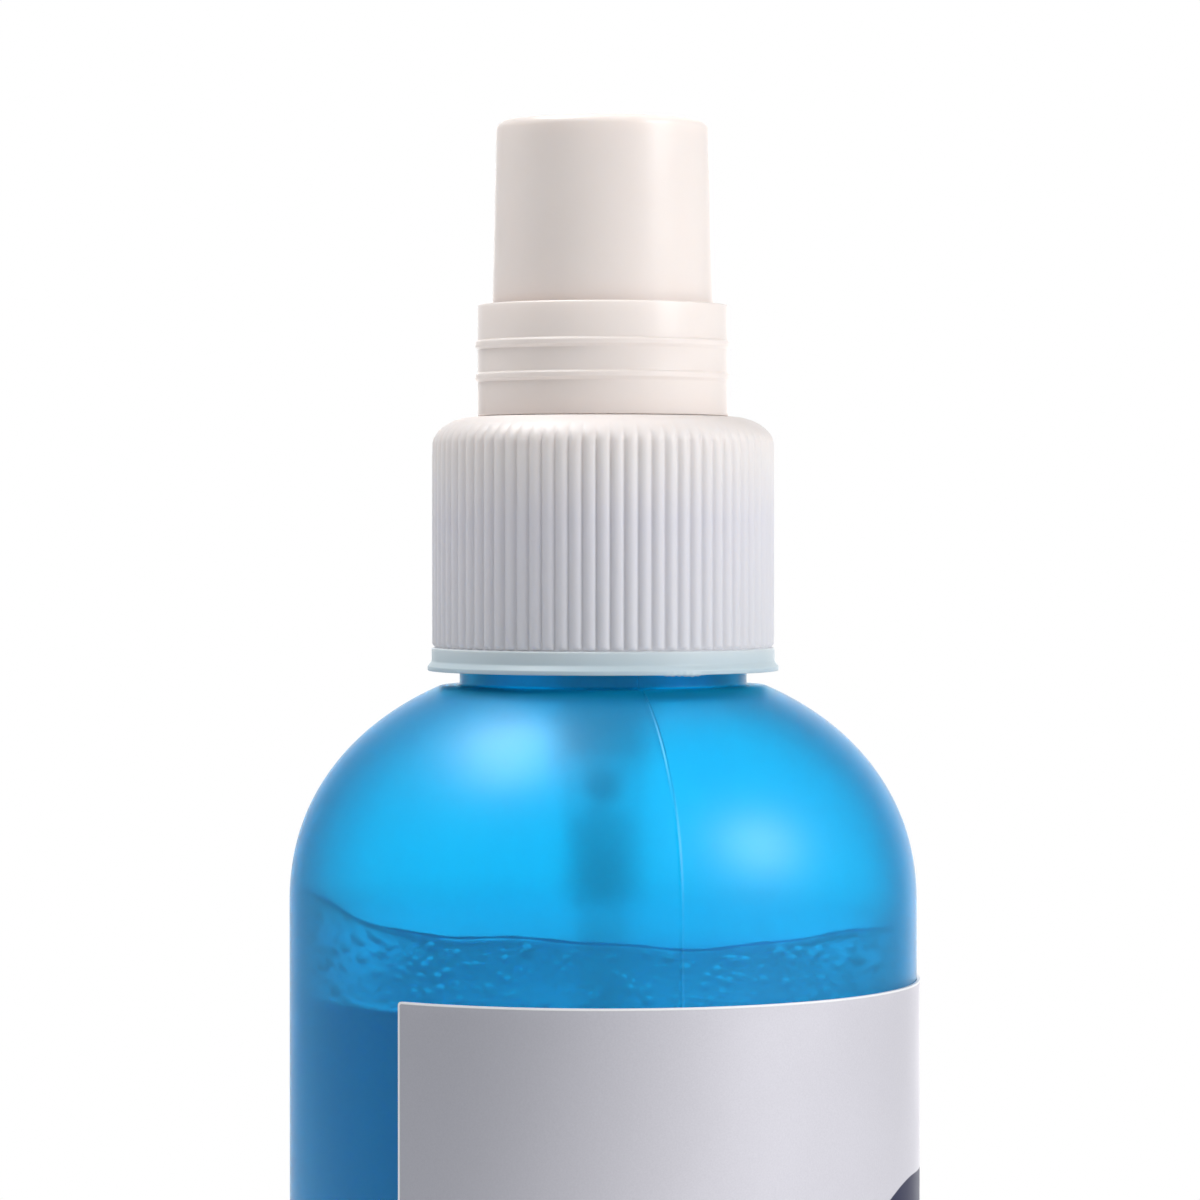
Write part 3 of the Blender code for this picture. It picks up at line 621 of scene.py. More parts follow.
def label_shell():
    """The film as a closed sheet with rounded corners, and each vertex's place on the flat label."""
    across = 300
    up = 60
    width = label_span * label_outer
    height = label_top - label_bottom
    vertices = []
    flat = []
    for side_radius in (label_outer, label_inner):
        for i in range(up + 1):
            v = height * (1 - math.cos(math.pi * i / up)) / 2
            rim = max(0.0, label_corner - min(v, height - v))
            inset = label_corner - math.sqrt(max(label_corner ** 2 - rim ** 2, 0.0))
            for j in range(across + 1):
                u = inset + (width - 2 * inset) * j / across
                angle = label_left + u / label_outer
                ripple = 0.018 * math.sin(u * 0.55) * math.sin(v * 0.23 + 1.0)
                edge = min(u, width - u, v, height - v)
                lift = 0.05 * math.exp(-edge / 0.5) if side_radius == label_outer else 0.0
                r = side_radius + (ripple + lift) * (side_radius == label_outer)
                vertices.append((r * math.cos(angle), r * math.sin(angle), label_bottom + v))
                flat.append((u * MM, v * MM))
    row = across + 1
    back = row * (up + 1)
    faces = []
    for i in range(up):
        for j in range(across):
            a = i * row + j
            faces.append((a, a + 1, a + 1 + row, a + row))
            faces.append((back + a, back + a + row, back + a + 1 + row, back + a + 1))
    rim = [j for j in range(row)] + [i * row + across for i in range(1, up + 1)]
    rim += [up * row + j for j in range(across - 1, -1, -1)] + [i * row for i in range(up - 1, 0, -1)]
    for a, b in zip(rim, rim[1:] + rim[:1]):
        faces.append((a, back + a, back + b, b))
    return vertices, faces, flat


def box_distance(nodes, links, centre, half, corner):
    """Distance outside a rounded rectangle on the flat label."""
    flat = nodes.new("ShaderNodeUVMap")
    flat.uv_map = "flat_label"
    shift = nodes.new("ShaderNodeVectorMath")
    shift.operation = "SUBTRACT"
    shift.inputs[1].default_value = (*centre, 0.0)
    links.new(flat.outputs["UV"], shift.inputs[0])
    fold = nodes.new("ShaderNodeVectorMath")
    fold.operation = "ABSOLUTE"
    links.new(shift.outputs["Vector"], fold.inputs[0])
    inset = nodes.new("ShaderNodeVectorMath")
    inset.operation = "SUBTRACT"
    inset.inputs[1].default_value = (half[0] - corner, half[1] - corner, 0.0)
    links.new(fold.outputs["Vector"], inset.inputs[0])
    clip = nodes.new("ShaderNodeVectorMath")
    clip.operation = "MAXIMUM"
    clip.inputs[1].default_value = (0.0, 0.0, 0.0)
    links.new(inset.outputs["Vector"], clip.inputs[0])
    length = nodes.new("ShaderNodeVectorMath")
    length.operation = "LENGTH"
    links.new(clip.outputs["Vector"], length.inputs[0])
    minus = nodes.new("ShaderNodeMath")
    minus.operation = "SUBTRACT"
    minus.inputs[1].default_value = corner
    links.new(length.outputs["Value"], minus.inputs[0])
    return minus.outputs["Value"]


def inside(nodes, links, distance, softness):
    """1 inside a printed shape and 0 outside it, with a thin soft edge."""
    ranged = nodes.new("ShaderNodeMapRange")
    ranged.inputs["From Min"].default_value = -softness
    ranged.inputs["From Max"].default_value = softness
    ranged.inputs["To Min"].default_value = 1.0
    ranged.inputs["To Max"].default_value = 0.0
    links.new(distance, ranged.inputs["Value"])
    return ranged.outputs["Result"]


def across_label(nodes, links, start, end):
    """0 to 1 between two distances from the label's left edge, on a slant."""
    flat = nodes.new("ShaderNodeUVMap")
    flat.uv_map = "flat_label"
    slant = nodes.new("ShaderNodeVectorMath")
    slant.operation = "DOT_PRODUCT"
    slant.inputs[1].default_value = (1.0, -0.3, 0.0)
    links.new(flat.outputs["UV"], slant.inputs[0])
    ranged = nodes.new("ShaderNodeMapRange")
    ranged.interpolation_type = "SMOOTHSTEP"
    ranged.inputs["From Min"].default_value = start - 0.3 * 0.08
    ranged.inputs["From Max"].default_value = end - 0.3 * 0.08
    links.new(slant.outputs["Value"], ranged.inputs["Value"])
    return ranged.outputs["Result"]


def silver_film():
    """Satin silver print with painted shade darkening it to the left, a thin painted white highlight border
    round its face, and the dark blue panel.
    """
    made, nodes, links, shader = surface("silver_label_film")
    width = label_span * label_outer * MM
    height = (label_top - label_bottom) * MM
    flake = noise_at(nodes, links, 7500.0, 2.0)
    drift = noise_at(nodes, links, 140.0, 3.0)
    silver = tinted(nodes, links, flake, (0.68, 0.67, 0.73), (0.72, 0.71, 0.77))
    # Painted shade: the silver darkens towards the label's left, away from the key light.
    shade = chosen(nodes, links, across_label(nodes, links, 0.002, 0.028),
                   (0.66, 0.68, 0.70), (1.0, 1.0, 1.0))
    silver = multiplied(nodes, links, silver, shade)
    # Painted highlight: a thin white border round the face stands in for the light caught along the film's
    # edges.
    printed = inside(nodes, links, box_distance(nodes, links, (width / 2, height / 2),
                                                (width / 2 - 0.00016, height / 2 - 0.00016), 0.0002), 0.00003)
    panel_left = 0.035
    panel_right = math.radians(246.0) * label_outer * MM
    panel = inside(nodes, links, box_distance(nodes, links, ((panel_left + panel_right) / 2, 0.0385),
                                              ((panel_right - panel_left) / 2, 0.0325), 0.015), 0.00004)
    colour = chosen(nodes, links, panel, silver, (0.018, 0.022, 0.075))
    links.new(chosen(nodes, links, printed, (0.97, 0.97, 0.99), colour), shader.inputs["Base Color"])
    links.new(spread(nodes, links, drift, 0.42, 0.50), shader.inputs["Roughness"])
    links.new(bumped(nodes, links, flake, 0.08, 0.00002), shader.inputs["Normal"])
    shader.inputs["Metallic"].default_value = 0.35
    return made


label_vertices, label_faces, label_flat = label_shell()
label_mesh = bpy.data.meshes.new("label_sheet")
label_mesh.from_pydata([Vector(v) * MM for v in label_vertices], [], label_faces)
flat_map = label_mesh.uv_layers.new(name="flat_label")
for loop in label_mesh.loops:
    flat_map.data[loop.index].uv = label_flat[loop.vertex_index]
label_mesh.materials.append(silver_film())
label_mesh.shade_smooth()
label_mesh.set_sharp_from_angle(angle=math.radians(50.0))
label_sheet = bpy.data.objects.new("label_sheet", label_mesh)
bpy.context.scene.collection.objects.link(label_sheet)
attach(label_sheet, "bottle_body")
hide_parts("label")

# Dip tube and pump housing: extruded tube pushed into the foot of a housing moulded in natural
# polypropylene. Only the housing's lower end and the tube show, as a soft shadow through the frosted
# shoulder.
housing_bottom = 104.0
spring_seat = 115.6
chamber_floor = 121.0
valve_seat = 112.3
flange_z = 140.2
flange_top = 141.1
collar_z = 142.9
tube_low, tube_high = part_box("dip_tube")


def natural_plastic(name, tone, roughness, milk):
    """Uncoloured polymer: milky, slightly see-through, with faint flow marks."""
    made, nodes, links, shader = surface(name)
    flow = noise_at(nodes, links, 400.0, 3.0, stretch=(1.0, 1.0, 0.2))
    skin = noise_at(nodes, links, 3000.0, 2.0)
    darker = tuple(0.94 * c for c in tone)
    links.new(tinted(nodes, links, flow, darker, tone), shader.inputs["Base Color"])
    links.new(spread(nodes, links, flow, roughness - 0.04, roughness + 0.04), shader.inputs["Roughness"])
    links.new(bumped(nodes, links, skin, 0.08, 0.00002), shader.inputs["Normal"])
    shader.inputs["IOR"].default_value = 1.1
    shader.inputs["Transmission Weight"].default_value = milk
    return made


tube_outline = filleted([(1.2, tube_low.z / MM, 0.1), (tube_radius, tube_low.z / MM, 0.1),
                         (tube_radius, tube_high.z / MM, 0.15), (1.2, tube_high.z / MM, 0.1)])
tube_vertices, tube_faces = turned(tube_outline, even_angles(64))
slant = math.tan(math.radians(40.0))
slanted = []
for x, y, z in tube_vertices:
    cut = max(0.0, 1.0 - (z - tube_low.z / MM) / 0.4)
    slanted.append((x, y, z + cut * (tube_radius - x) * slant))
dip_pipe = piece_from("dip_pipe", slanted, tube_faces,
                      natural_plastic("extruded_tube", (0.97, 0.99, 0.99), 0.5, 0.95))
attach(dip_pipe, "pump_body")
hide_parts("dip_tube")

housing_corners = [(2.1, housing_bottom, 0.1), (3.1, housing_bottom, 0.15), (3.1, spring_seat - 1.6, 0.4),
                   (4.1, spring_seat - 0.4, 0.4), (4.1, chamber_floor - 1.2, 0.4), (4.7, chamber_floor, 0.4),
                   (4.7, flange_z, 0.3), (11.6, flange_z, 0.15), (11.6, flange_top, 0.15),
                    (6.9, flange_top, 0.15),
                   (6.9, collar_z - 0.4, 0.15), (5.5, collar_z - 0.4, 0.1), (5.5, flange_top - 0.2, 0.1),
                   (3.7, flange_top - 0.2, 0.15), (3.7, chamber_floor, 0.3), (3.3, chamber_floor - 0.6, 0.2),
                   (3.3, spring_seat, 0.1), (1.1, spring_seat, 0.1), (1.1, valve_seat + 2.8, 0.1),
                   (1.7, valve_seat + 2.2, 0.1), (1.7, valve_seat + 0.8, 0.1), (0.9, valve_seat, 0.05),
                   (0.9, 111.0, 0.05), (2.1, 111.0, 0.05)]
housing_body = piece_from("housing_body", *turned(filleted(housing_corners, 4), even_angles(96)),
                          natural_plastic("housing_polypropylene", (0.99, 1.0, 1.0), 0.9, 0.88))
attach(housing_body, "pump_body")
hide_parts("pump_housing")

# Inlet valve: a polished stainless ball that sits on the housing's cone.
ball_low, ball_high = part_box("check_ball")
ball_radius = (ball_high.z - ball_low.z) / 2 / MM
ball_centre = (ball_high.z + ball_low.z) / 2 / MM


def stainless(name, roughness):
    """Bright stainless steel with fine drawing marks."""
    made, nodes, links, shader = surface(name)
    marks = noise_at(nodes, links, 1800.0, 4.0, stretch=(1.0, 1.0, 4.0))
    links.new(tinted(nodes, links, marks, (0.52, 0.52, 0.53), (0.62, 0.62, 0.62)),
              shader.inputs["Base Color"])
    links.new(spread(nodes, links, marks, roughness, roughness + 0.08), shader.inputs["Roughness"])
    shader.inputs["Metallic"].default_value = 1.0
    return made


ball_outline = []
for i in range(33):
    tilt = math.pi * i / 32 - math.pi / 2
    ball_outline.append((max(ball_radius * math.cos(tilt), 0.0) if 0 < i < 32 else 0.0,
                         ball_centre + ball_radius * math.sin(tilt)))
inlet_ball = piece_from("inlet_ball", *turned(ball_outline, even_angles(48), closed=False),
                        stainless("polished_ball_steel", 0.08))
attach(inlet_ball, "ball_body")
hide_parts("check_ball")

# Return spring: stainless wire coiled with closed ends, between the housing's seat and the valve rod.
spring_low, spring_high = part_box("return_spring")
wire_radius = 0.35
coil_radius = 2.75
coil_turns = 10
coil_low = spring_low.z / MM + wire_radius
coil_high = spring_high.z / MM - wire_radius


def coil_rise(turn):
    closed = 2.1 * wire_radius
    opened = (coil_high - coil_low - 2 * closed) / (coil_turns - 2)
    if turn <= 1:
        return closed * turn
    if turn >= coil_turns - 1:
        return coil_high - coil_low - closed * (coil_turns - turn)
    return closed + opened * (turn - 1)


wire_section = [(wire_radius * math.cos(math.tau * k / 12), wire_radius * math.sin(math.tau * k / 12))
                for k in range(12)]
coil_spring = piece_from("coil_spring",
                         *helix(wire_section, coil_radius, coil_low, coil_rise, coil_turns, 40),
                         stainless("spring_wire", 0.22))
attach(coil_spring, "pump_body")
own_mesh(coil_spring)
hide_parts("return_spring")

# Plunger: the hollow stem with its stop shoulder, the valve rod pressed into its lower end, and the two-
# lipped piston that slips on it. All are moulded in natural plastic.
piston_z = 134.5
gland_z = flange_top - 0.2
stem_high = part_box("stem")[1].z / MM
stem_corners = [(1.1, piston_z, 0.1), (2.0, piston_z, 0.1), (2.0, gland_z - 1.0, 0.15),
                (3.0, gland_z - 1.0, 0.1),
                (3.0, gland_z, 0.15), (2.0, gland_z, 0.15), (2.0, stem_high, 0.3), (1.1, stem_high, 0.1)]
stem_tube = piece_from("stem_tube", *turned(filleted(stem_corners, 4), even_angles(64)),
                       natural_plastic("stem_acetal", (0.86, 0.87, 0.86), 0.25, 0.1))
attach(stem_tube, "plunger_body")
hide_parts("stem")

flange_high = piston_z - 0.3
flange_low = flange_high - 1.0
rod_corners = [(0.0, flange_low - 3.0, 0), (1.7, flange_low - 3.0, 0.5), (1.7, flange_low, 0.1),
               (3.0, flange_low, 0.15), (3.0, flange_high, 0.15), (0.8, flange_high, 0.1),
               (0.8, flange_high + 6.0, 0.4), (0.0, flange_high + 6.0, 0)]
rod_pin = piece_from("rod_pin", *turned(filleted(rod_corners, 4), even_angles(64), closed=False),
                     natural_plastic("rod_polypropylene", (0.84, 0.86, 0.86), 0.3, 0.1))
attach(rod_pin, "plunger_body")
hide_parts("valve_rod")

piston_high = piston_z + 4.0
piston_corners = [(2.1, piston_z, 0.1), (3.2, piston_z, 0.1), (3.6, piston_z + 0.3, 0.15),
                  (3.6, piston_z + 0.8, 0.15), (3.0, piston_z + 1.3, 0.3), (3.0, piston_high - 1.3, 0.3),
                  (3.6, piston_high - 0.8, 0.15), (3.6, piston_high - 0.3, 0.15), (3.2, piston_high, 0.1),
                  (2.1, piston_high, 0.1)]
piston_seal = piece_from("piston_seal", *turned(filleted(piston_corners, 4), even_angles(72)),
                         natural_plastic("piston_polyethylene", (0.88, 0.89, 0.88), 0.45, 0.15))
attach(piston_seal, "piston_body")
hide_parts("piston")

# Washers: the neck washer is punched from foamed sheet, and the gland washer round the stem is moulded
# rubber.


def washer(name, node, inner_radius, tone, grain):
    """A flat ring of soft sheet with slightly rounded edges and a fine open grain."""
    made, nodes, links, shader = surface(name + "_foam")
    pores = noise_at(nodes, links, grain, 5.0)
    darker = tuple(0.85 * c for c in tone)
    links.new(tinted(nodes, links, pores, darker, tone), shader.inputs["Base Color"])
    links.new(bumped(nodes, links, pores, 0.4, 0.00008), shader.inputs["Normal"])
    shader.inputs["Roughness"].default_value = 0.85
    low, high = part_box(node)
    corners = [(inner_radius, low.z / MM, 0.12), (high.x / MM, low.z / MM, 0.12),
               (high.x / MM, high.z / MM, 0.12),
               (inner_radius, high.z / MM, 0.12)]
    piece = piece_from(name, *turned(filleted(corners, 3), even_angles(96)), made)
    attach(piece, "pump_body")
    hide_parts(node)


washer("neck_washer", "neck_gasket", 6.2, (0.80, 0.80, 0.78), 1600.0)
washer("gland_washer", "stem_gasket", 2.1, (0.30, 0.31, 0.33), 2600.0)

# Screw closure: a white polypropylene skirt with 78 moulded finger ribs over a plain band and a thin lip, a
# rounded top edge, and a coarse thread inside.
closure_low, closure_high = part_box("closure")
closure_z = closure_low.z / MM
closure_top = closure_high.z / MM
rib_count = 78
rib_root = 13.4
rib_depth = 0.24
rib_low_z = closure_z + 1.85
rib_high_z = closure_top - 0.4
edge_reach = 3.2
edge_drop = 2.1
band_radius = 13.68
lip_radius = 14.0
closure_bore = 12.2
plate_hole = 8.2


def rib_tree():
    """Rounded upright ribs raised on a turned skirt: |sin| waves round it, faded out at both ends."""
    tree = bpy.data.node_groups.new("finger_ribs", "GeometryNodeTree")
    source, sink = tree_inputs(tree, (("Rib Count", "NodeSocketInt", 78),
                                      ("Rib Depth", "NodeSocketFloat", 0.0004),
                                      ("Low End", "NodeSocketFloat", 0.12),
                                      ("High End", "NodeSocketFloat", 0.14),
                                      ("Low Fade", "NodeSocketFloat", 0.0004),
                                      ("High Fade", "NodeSocketFloat", 0.002),
                                      ("Skirt Radius", "NodeSocketFloat", 0.013),
                                      ("Finish", "NodeSocketMaterial", None)))
    nodes = tree.nodes
    links = tree.links

    def maths(operation, *values):
        node = nodes.new("ShaderNodeMath")
        node.operation = operation
        for k, value in enumerate(values):
            if isinstance(value, (int, float)):
                node.inputs[k].default_value = value
            else:
                links.new(value, node.inputs[k])
        return node.outputs[0]

    position = nodes.new("GeometryNodeInputPosition")
    parts = nodes.new("ShaderNodeSeparateXYZ")
    links.new(position.outputs["Position"], parts.inputs[0])
    x, y, z = parts.outputs
    radius = maths("SQRT", maths("ADD", maths("MULTIPLY", x, x), maths("MULTIPLY", y, y)))
    half_turns = maths("MULTIPLY", maths("ARCTAN2", y, x),
                       maths("MULTIPLY", source.outputs["Rib Count"], 0.5))
    wave = maths("POWER", maths("ABSOLUTE", maths("SINE", half_turns)), 0.8)
    fades = []
    for end, fade, sign in (("Low End", "Low Fade", 1.0), ("High End", "High Fade", -1.0)):
        reach = maths("MULTIPLY", maths("SUBTRACT", z, source.outputs[end]), sign)
        share = maths("DIVIDE", reach, source.outputs[fade])
        fades.append(maths("SMOOTH_MIN", maths("MAXIMUM", share, 0.0), 1.0, 0.2))
    on_skirt = maths("GREATER_THAN", radius, source.outputs["Skirt Radius"])
    lift = maths("MULTIPLY", maths("MULTIPLY", wave, source.outputs["Rib Depth"]), on_skirt)
    lift = maths("MULTIPLY", lift, maths("MULTIPLY", fades[0], fades[1]))
    share = maths("DIVIDE", lift, radius)
    outwards = nodes.new("ShaderNodeCombineXYZ")
    links.new(maths("MULTIPLY", x, share), outwards.inputs[0])
    links.new(maths("MULTIPLY", y, share), outwards.inputs[1])
    move = nodes.new("GeometryNodeSetPosition")
    links.new(source.outputs["Geometry"], move.inputs["Geometry"])
    links.new(outwards.outputs[0], move.inputs["Offset"])
    real = nodes.new("GeometryNodeRealizeInstances")
    links.new(move.outputs["Geometry"], real.inputs["Geometry"])
    paint = nodes.new("GeometryNodeSetMaterial")
    links.new(real.outputs["Geometry"], paint.inputs["Geometry"])
    links.new(source.outputs["Finish"], paint.inputs["Material"])
    links.new(paint.outputs["Geometry"], sink.inputs["Geometry"])
    return tree


def moulded_white(name, first, second, roughness, milk, milk_depth):
    """White injection-moulded polypropylene: near-even colour, soft gloss, fine spark-eroded grain."""
    made, nodes, links, shader = surface(name)
    drift = noise_at(nodes, links, 120.0, 3.0)
    grain = noise_at(nodes, links, 2600.0, 3.0)
    links.new(tinted(nodes, links, drift, first, second), shader.inputs["Base Color"])
    links.new(spread(nodes, links, drift, roughness - 0.03, roughness + 0.05), shader.inputs["Roughness"])
    links.new(bumped(nodes, links, grain, 0.15, 0.00002), shader.inputs["Normal"])
    shader.inputs["Subsurface Weight"].default_value = milk
    shader.inputs["Subsurface Radius"].default_value = (1.0, 0.9, 0.8)
    shader.inputs["Subsurface Scale"].default_value = milk_depth
    return made


def skirt_plastic_painted_light():
    """The closure's thinner, milkier white, with painted light by height: lighter and warm at its top, cool
    down the ribs, and darker with a painted blue cast at the thin band.
    """
    made = moulded_white("closure_white_painted_light", (1.0, 1.0, 1.0), (0.97, 0.97, 0.97), 0.48, 0.5, 0.001)
    nodes = made.node_tree.nodes
    links = made.node_tree.links
    shader = nodes["Principled BSDF"]
    ground = shader.inputs["Base Color"].links[0].from_socket
    # Painted light and shade: lighter and warmer at the top, darker with a blue cast from the neck at the
    # band.
    painted_light_tones = height_tones(nodes, links, [
        (closure_z, (0.52, 0.64, 0.70)), (closure_z + 1.78, (0.60, 0.68, 0.72)),
        (closure_z + 1.9, (0.69, 0.69, 0.73)), (closure_z + 12.0, (0.71, 0.70, 0.75)),
        (closure_z + 16.6, (0.80, 0.77, 0.77)), (closure_top, (0.83, 0.77, 0.745))])
    links.new(multiplied(nodes, links, ground, painted_light_tones), shader.inputs["Base Color"])
    return made


def lip_flash(angle, r, z):
    """A torn sliver of flash under one stretch of the lip."""
    if z > closure_z + 0.2 or r < lip_radius - 0.6:
        return 0.0
    away = (angle - math.radians(-63.0) + math.pi) % math.tau - math.pi
    ragged = 0.6 + 0.4 * math.sin(61 * angle) * math.sin(97 * angle)
    return 0.16 * ragged * math.exp(-(away / 0.12) ** 4)


skirt_white_painted_light = skirt_plastic_painted_light()
skirt_corners = [(closure_bore + 0.3, closure_z, 0.1), (lip_radius, closure_z, 0.08),
                 (lip_radius, closure_z + 0.35, 0.1), (band_radius, closure_z + 0.75, 0.3),
                 (band_radius, closure_z + 1.8, 0.12), (rib_root, closure_z + 1.86, 0.04)]
skirt_outline = filleted(skirt_corners + [(rib_root, closure_top - 5, 0)], 4)[1:]
fade_rows = [closure_z + 1.95 + 0.12 * k for k in range(7)]
body_rows = [closure_z + 3.5, closure_z + 8.0, closure_z + 13.0, closure_z + 17.0]
skirt_outline = skirt_outline[:-1] + [(rib_root, z) for z in fade_rows + body_rows]
for k in range(17):
    tilt = math.radians(90 * k / 16)
    skirt_outline.append((rib_root - edge_reach + edge_reach * math.cos(tilt),
                          closure_top - edge_drop + edge_drop * math.sin(tilt)))
skirt_outline += filleted([(*skirt_outline[-1], 0), (plate_hole, closure_top, 0.15),
                           (plate_hole, closure_top - 1.3, 0.1), (closure_bore, closure_top - 1.3, 0.4),
                           (closure_bore, closure_z + 0.3, 0.1),
                            (closure_bore + 0.3, closure_z, 0.05)], 4)[1:]
closure_thread = helix([(0.04, -1.1), (-0.95, -0.35), (-0.95, 0.35), (0.04, 1.1)], closure_bore,
                       thread_z - thread_pitch / 2 + 0.1, lambda t: thread_pitch * t, 1.25, 72, fade=0.17)
skirt_blank = turned(skirt_outline, even_angles(rib_count * 10), proud=lip_flash)
skirt = piece_from("skirt_blank", *joined(skirt_blank, closure_thread), skirt_white_painted_light)
closure_shell = grown(skirt, rib_tree(), {"Rib Count": rib_count, "Rib Depth": rib_depth * MM,
                                          "Low End": rib_low_z * MM, "High End": rib_high_z * MM,
                                          "Low Fade": 0.3 * MM, "High Fade": 2.0 * MM,
                                          "Skirt Radius": (rib_root - 1.1) * MM,
                                          "Finish": skirt_white_painted_light}, "closure_shell")
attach(closure_shell, "closure_body")
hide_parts("closure")

# Collar: the white cup that guides the head, with two fine beads, a flat rim, a web that the stem passes
# and a spigot that snaps into the closure.
collar_low, collar_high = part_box("collar")
collar_top = collar_high.z / MM
collar_radius = 10.0
collar_inner = 9.2
bead_proud = 0.2
head_white = moulded_white("sprayer_white", (0.93, 0.825, 0.78), (0.95, 0.845, 0.80), 0.34, 0.4, 0.0015)
spigot_outer = plate_hole - 0.3
collar_corners = [(7.2, collar_z, 0.1), (7.2, flange_top + 0.3, 0.1), (spigot_outer, flange_top + 0.3, 0.1),
                  (spigot_outer, collar_z - 0.25, 0.1), (collar_radius, collar_z - 0.25, 0.12)]
for bead_top in (collar_z + 3.18, collar_z + 5.76):
    collar_corners += [(collar_radius, bead_top - 0.75, 0.12),
                       (collar_radius + bead_proud, bead_top - 0.5, 0.1),
                       (collar_radius + bead_proud, bead_top - 0.14, 0.08), (collar_radius, bead_top, 0.08)]
collar_corners += [(collar_radius, collar_top, 0.16), (collar_inner, collar_top, 0.12),
                   (collar_inner, collar_z + 1.0, 0.3), (2.3, collar_z + 1.0, 0.15), (2.3, collar_z, 0.1)]
collar_cup = piece_from("collar_cup", *turned(filleted(collar_corners, 4), even_angles(192)), head_white)
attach(collar_cup, "pump_body")
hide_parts("collar")

# Head: the white push button, a slightly tapered cup with a soft edge and a low crown, a socket for the
# stem and a round recess at the back for the spray insert.
head_low, head_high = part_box("head")
head_z = head_low.z / MM
head_top = head_high.z / MM
head_bottom_radius = (head_high.x - head_low.x) / 2 / MM
head_top_radius = 8.5
head_wall = 0.9
roof_z = head_top - 1.3
nozzle_z = 160.5
socket_top = stem_high + 0.3
head_corners = [(0.0, nozzle_z + 1.0, 0), (1.1, nozzle_z + 1.0, 0.1), (1.1, socket_top, 0.1),
                (2.1, socket_top, 0.1), (2.1, 149.2, 0.15), (3.2, 149.2, 0.15), (3.2, roof_z, 0.3),
                (head_top_radius - head_wall, roof_z, 0.4),
                (head_bottom_radius - head_wall, head_z, 0.15), (head_bottom_radius, head_z, 0.15),
                (head_top_radius, head_top - 0.12, 0.75), (5.5, head_top - 0.02, 0), (0.0, head_top, 0)]
head_button = piece_from("head_button",
                         *turned(filleted(head_corners, 10), even_angles(192), closed=False), head_white)


def bar_along_y(corners, columns):
    """A turned shape whose axis is the spray line, from (radius, distance) corners."""
    vertices, faces = turned(filleted(corners, 4), even_angles(columns), closed=False)
    return [(x, along, nozzle_z - y) for x, y, along in vertices], faces


def carve(target, corners, operation):
    """Join or cut a turned bar on the spray line."""
    tool = piece_from("carving_tool", *bar_along_y(corners, 72), head_white)
    modifier = target.modifiers.new("carve", "BOOLEAN")
    modifier.operation = operation
    modifier.object = tool
    bpy.context.view_layer.update()
    mesh = bpy.data.meshes.new_from_object(target.evaluated_get(bpy.context.evaluated_depsgraph_get()))
    target.modifiers.clear()
    target.data = mesh
    bpy.data.objects.remove(tool, do_unlink=True)


carve(head_button, [(0.0, 2.4, 0), (2.9, 2.4, 0), (2.9, 8.0, 0), (0.0, 8.0, 0)], "UNION")
carve(head_button, [(0.0, 0.3, 0), (0.6, 0.3, 0), (0.6, 5.45, 0), (2.0, 5.45, 0.1), (2.0, 8.15, 0.1),
                    (2.6, 8.75, 0),
                    (2.6, 9.5, 0), (0.0, 9.5, 0)], "DIFFERENCE")
head_button.data.shade_smooth()
head_button.data.set_sharp_from_angle(angle=math.radians(40.0))
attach(head_button, "head_body")
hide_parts("head")

# Spray insert: a small white cup pressed into the recess, with a raised ring and a dished 0.3 mm spray
# hole.
insert_corners = [(0.3, 7.7, 0.03), (1.0, 8.05, 0.1), (1.35, 8.2, 0.08), (1.9, 8.2, 0.15), (1.9, 5.6, 0.1),
                  (1.2, 5.6, 0.1), (1.2, 7.3, 0.1), (0.3, 7.3, 0.03)]
insert_vertices, insert_faces = turned(filleted(insert_corners, 4), even_angles(72))
spray_insert = piece_from("spray_insert", [(x, along, nozzle_z - y) for x, y, along in insert_vertices],
                          insert_faces,
                          moulded_white("insert_white", (0.84, 0.84, 0.84), (0.87, 0.87, 0.87),
                                        0.28, 0.3, 0.0006))
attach(spray_insert, "head_body")
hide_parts("nozzle_insert")

# Studio: a pale round table top that fades into the white surround, one large soft light from the right and
# front, one from overhead, and a surround that is dimmer towards the camera's left.
floor_mesh = bpy.data.meshes.new("table_top")
floor_bm = bmesh.new()
bmesh.ops.create_circle(floor_bm, cap_ends=True, segments=96, radius=0.5)
floor_bm.to_mesh(floor_mesh)
floor_bm.free()
floor = bpy.data.objects.new("table_top", floor_mesh)
bpy.context.scene.collection.objects.link(floor)
floor.location.z = -0.0002


def table_finish():
    """Matt pale table top, turning to plain white light at its rim."""
    made, nodes, links, shader = surface("table_finish")
    place = nodes.new("ShaderNodeTexCoord")
    reach = nodes.new("ShaderNodeVectorMath")
    reach.operation = "LENGTH"
    links.new(place.outputs["Object"], reach.inputs[0])
    ranged = nodes.new("ShaderNodeMapRange")
    ranged.interpolation_type = "SMOOTHSTEP"
    ranged.inputs["From Min"].default_value = 0.12
    ranged.inputs["From Max"].default_value = 0.48
    links.new(reach.outputs["Value"], ranged.inputs["Value"])
    glow = nodes.new("ShaderNodeEmission")
    blend = nodes.new("ShaderNodeMixShader")
    links.new(ranged.outputs["Result"], blend.inputs[0])
    links.new(shader.outputs[0], blend.inputs[1])
    links.new(glow.outputs[0], blend.inputs[2])
    links.new(blend.outputs[0], nodes["Material Output"].inputs["Surface"])
    shader.inputs["Base Color"].default_value = (0.86, 0.86, 0.87, 1.0)
    shader.inputs["Roughness"].default_value = 0.6
    return made


floor_mesh.materials.append(table_finish())


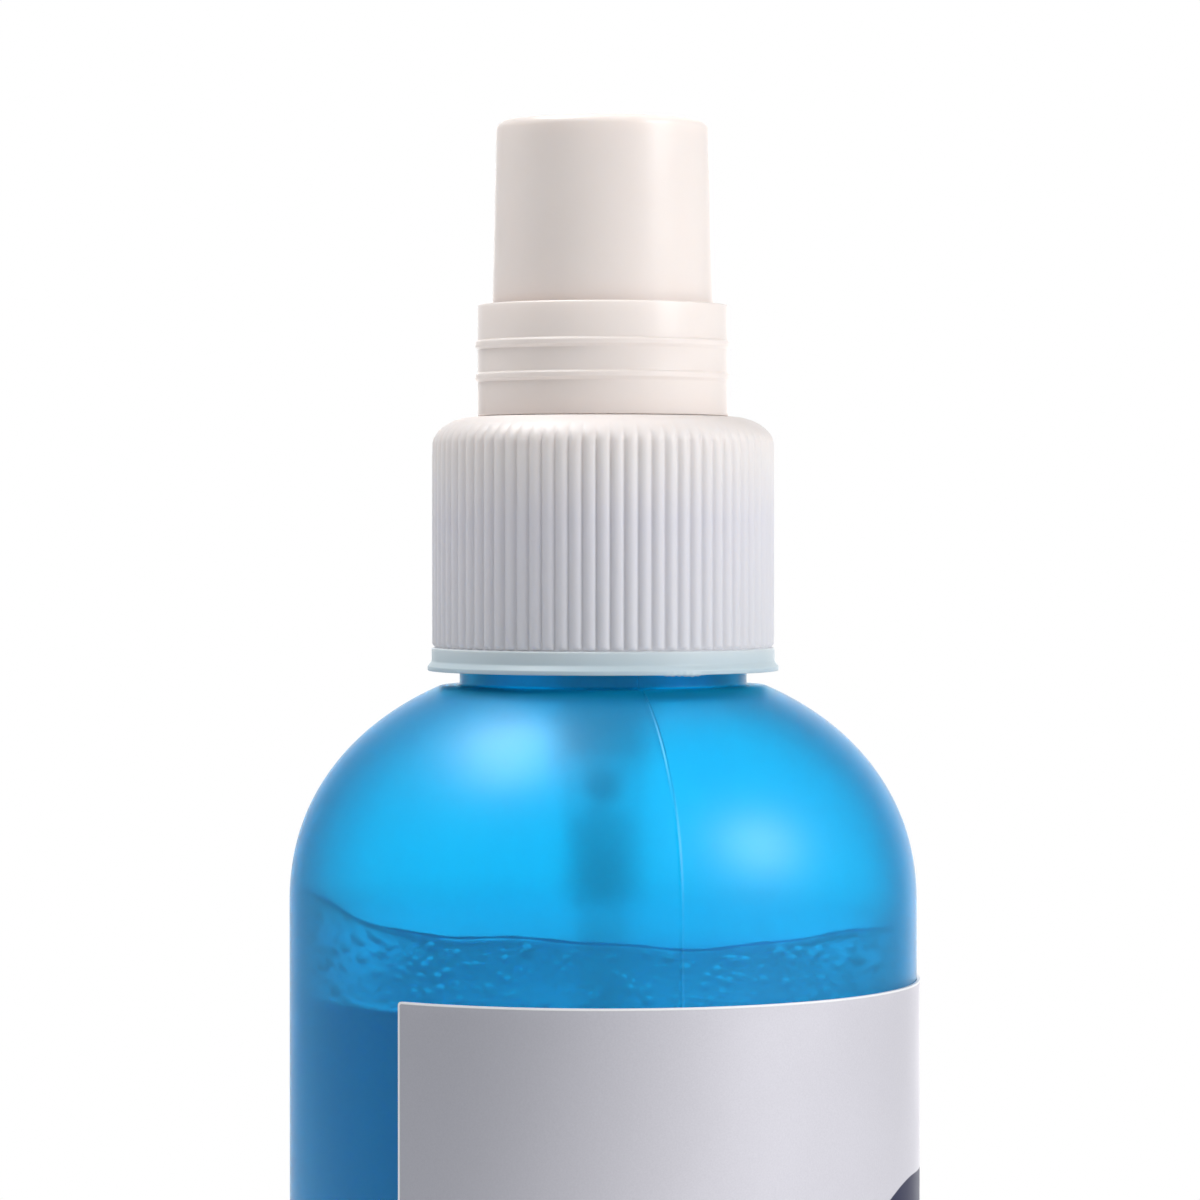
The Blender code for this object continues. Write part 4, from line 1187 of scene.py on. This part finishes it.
def soft_light(name, direction, distance, width, height, power):
    """A rectangular soft box that faces the bottle's shoulder."""
    data = bpy.data.lights.new(name, "AREA")
    data.shape = "RECTANGLE"
    data.size = width
    data.size_y = height
    data.energy = power
    light = bpy.data.objects.new(name, data)
    target = Vector((0.0, 0.0, 0.115))
    light.location = target + Vector(direction).normalized() * distance
    light.rotation_euler = (target - light.location).to_track_quat("-Z", "Y").to_euler()
    bpy.context.scene.collection.objects.link(light)


soft_light("key_light", (0.80, -0.40, 0.44), 0.9, 0.34, 0.34, 5.2)
soft_light("top_light", (-0.38, 0.08, 0.92), 0.8, 0.55, 0.25, 5.0)

world = bpy.data.worlds.new("studio_surround")
bpy.context.scene.world = world
world.use_nodes = True
world_nodes = world.node_tree.nodes
world_links = world.node_tree.links
surround = world_nodes["Background"]
direction_of = world_nodes.new("ShaderNodeTexCoord")
dim_side = world_nodes.new("ShaderNodeVectorMath")
dim_side.operation = "DOT_PRODUCT"
dim_side.inputs[1].default_value = Vector((0.06, 1.0, -0.06)).normalized()
world_links.new(direction_of.outputs["Generated"], dim_side.inputs[0])
dimming = world_nodes.new("ShaderNodeMapRange")
dimming.interpolation_type = "SMOOTHSTEP"
dimming.inputs["From Min"].default_value = 0.84
dimming.inputs["From Max"].default_value = 0.985
dimming.inputs["To Min"].default_value = 0.32
dimming.inputs["To Max"].default_value = 2.35
world_links.new(dim_side.outputs["Value"], dimming.inputs["Value"])
world_links.new(dimming.outputs["Result"], surround.inputs["Strength"])
backdrop = world_nodes.new("ShaderNodeBackground")
seen = world_nodes.new("ShaderNodeLightPath")
either = world_nodes.new("ShaderNodeMixShader")
world_links.new(seen.outputs["Is Camera Ray"], either.inputs[0])
world_links.new(surround.outputs[0], either.inputs[1])
world_links.new(backdrop.outputs[0], either.inputs[2])
world_links.new(either.outputs[0], world_nodes["World Output"].inputs["Surface"])
surround.inputs["Color"].default_value = (1.0, 1.0, 1.0, 1.0)
backdrop.inputs["Color"].default_value = (1.0, 1.0, 1.0, 1.0)
bpy.context.scene.view_settings.view_transform = "Standard"
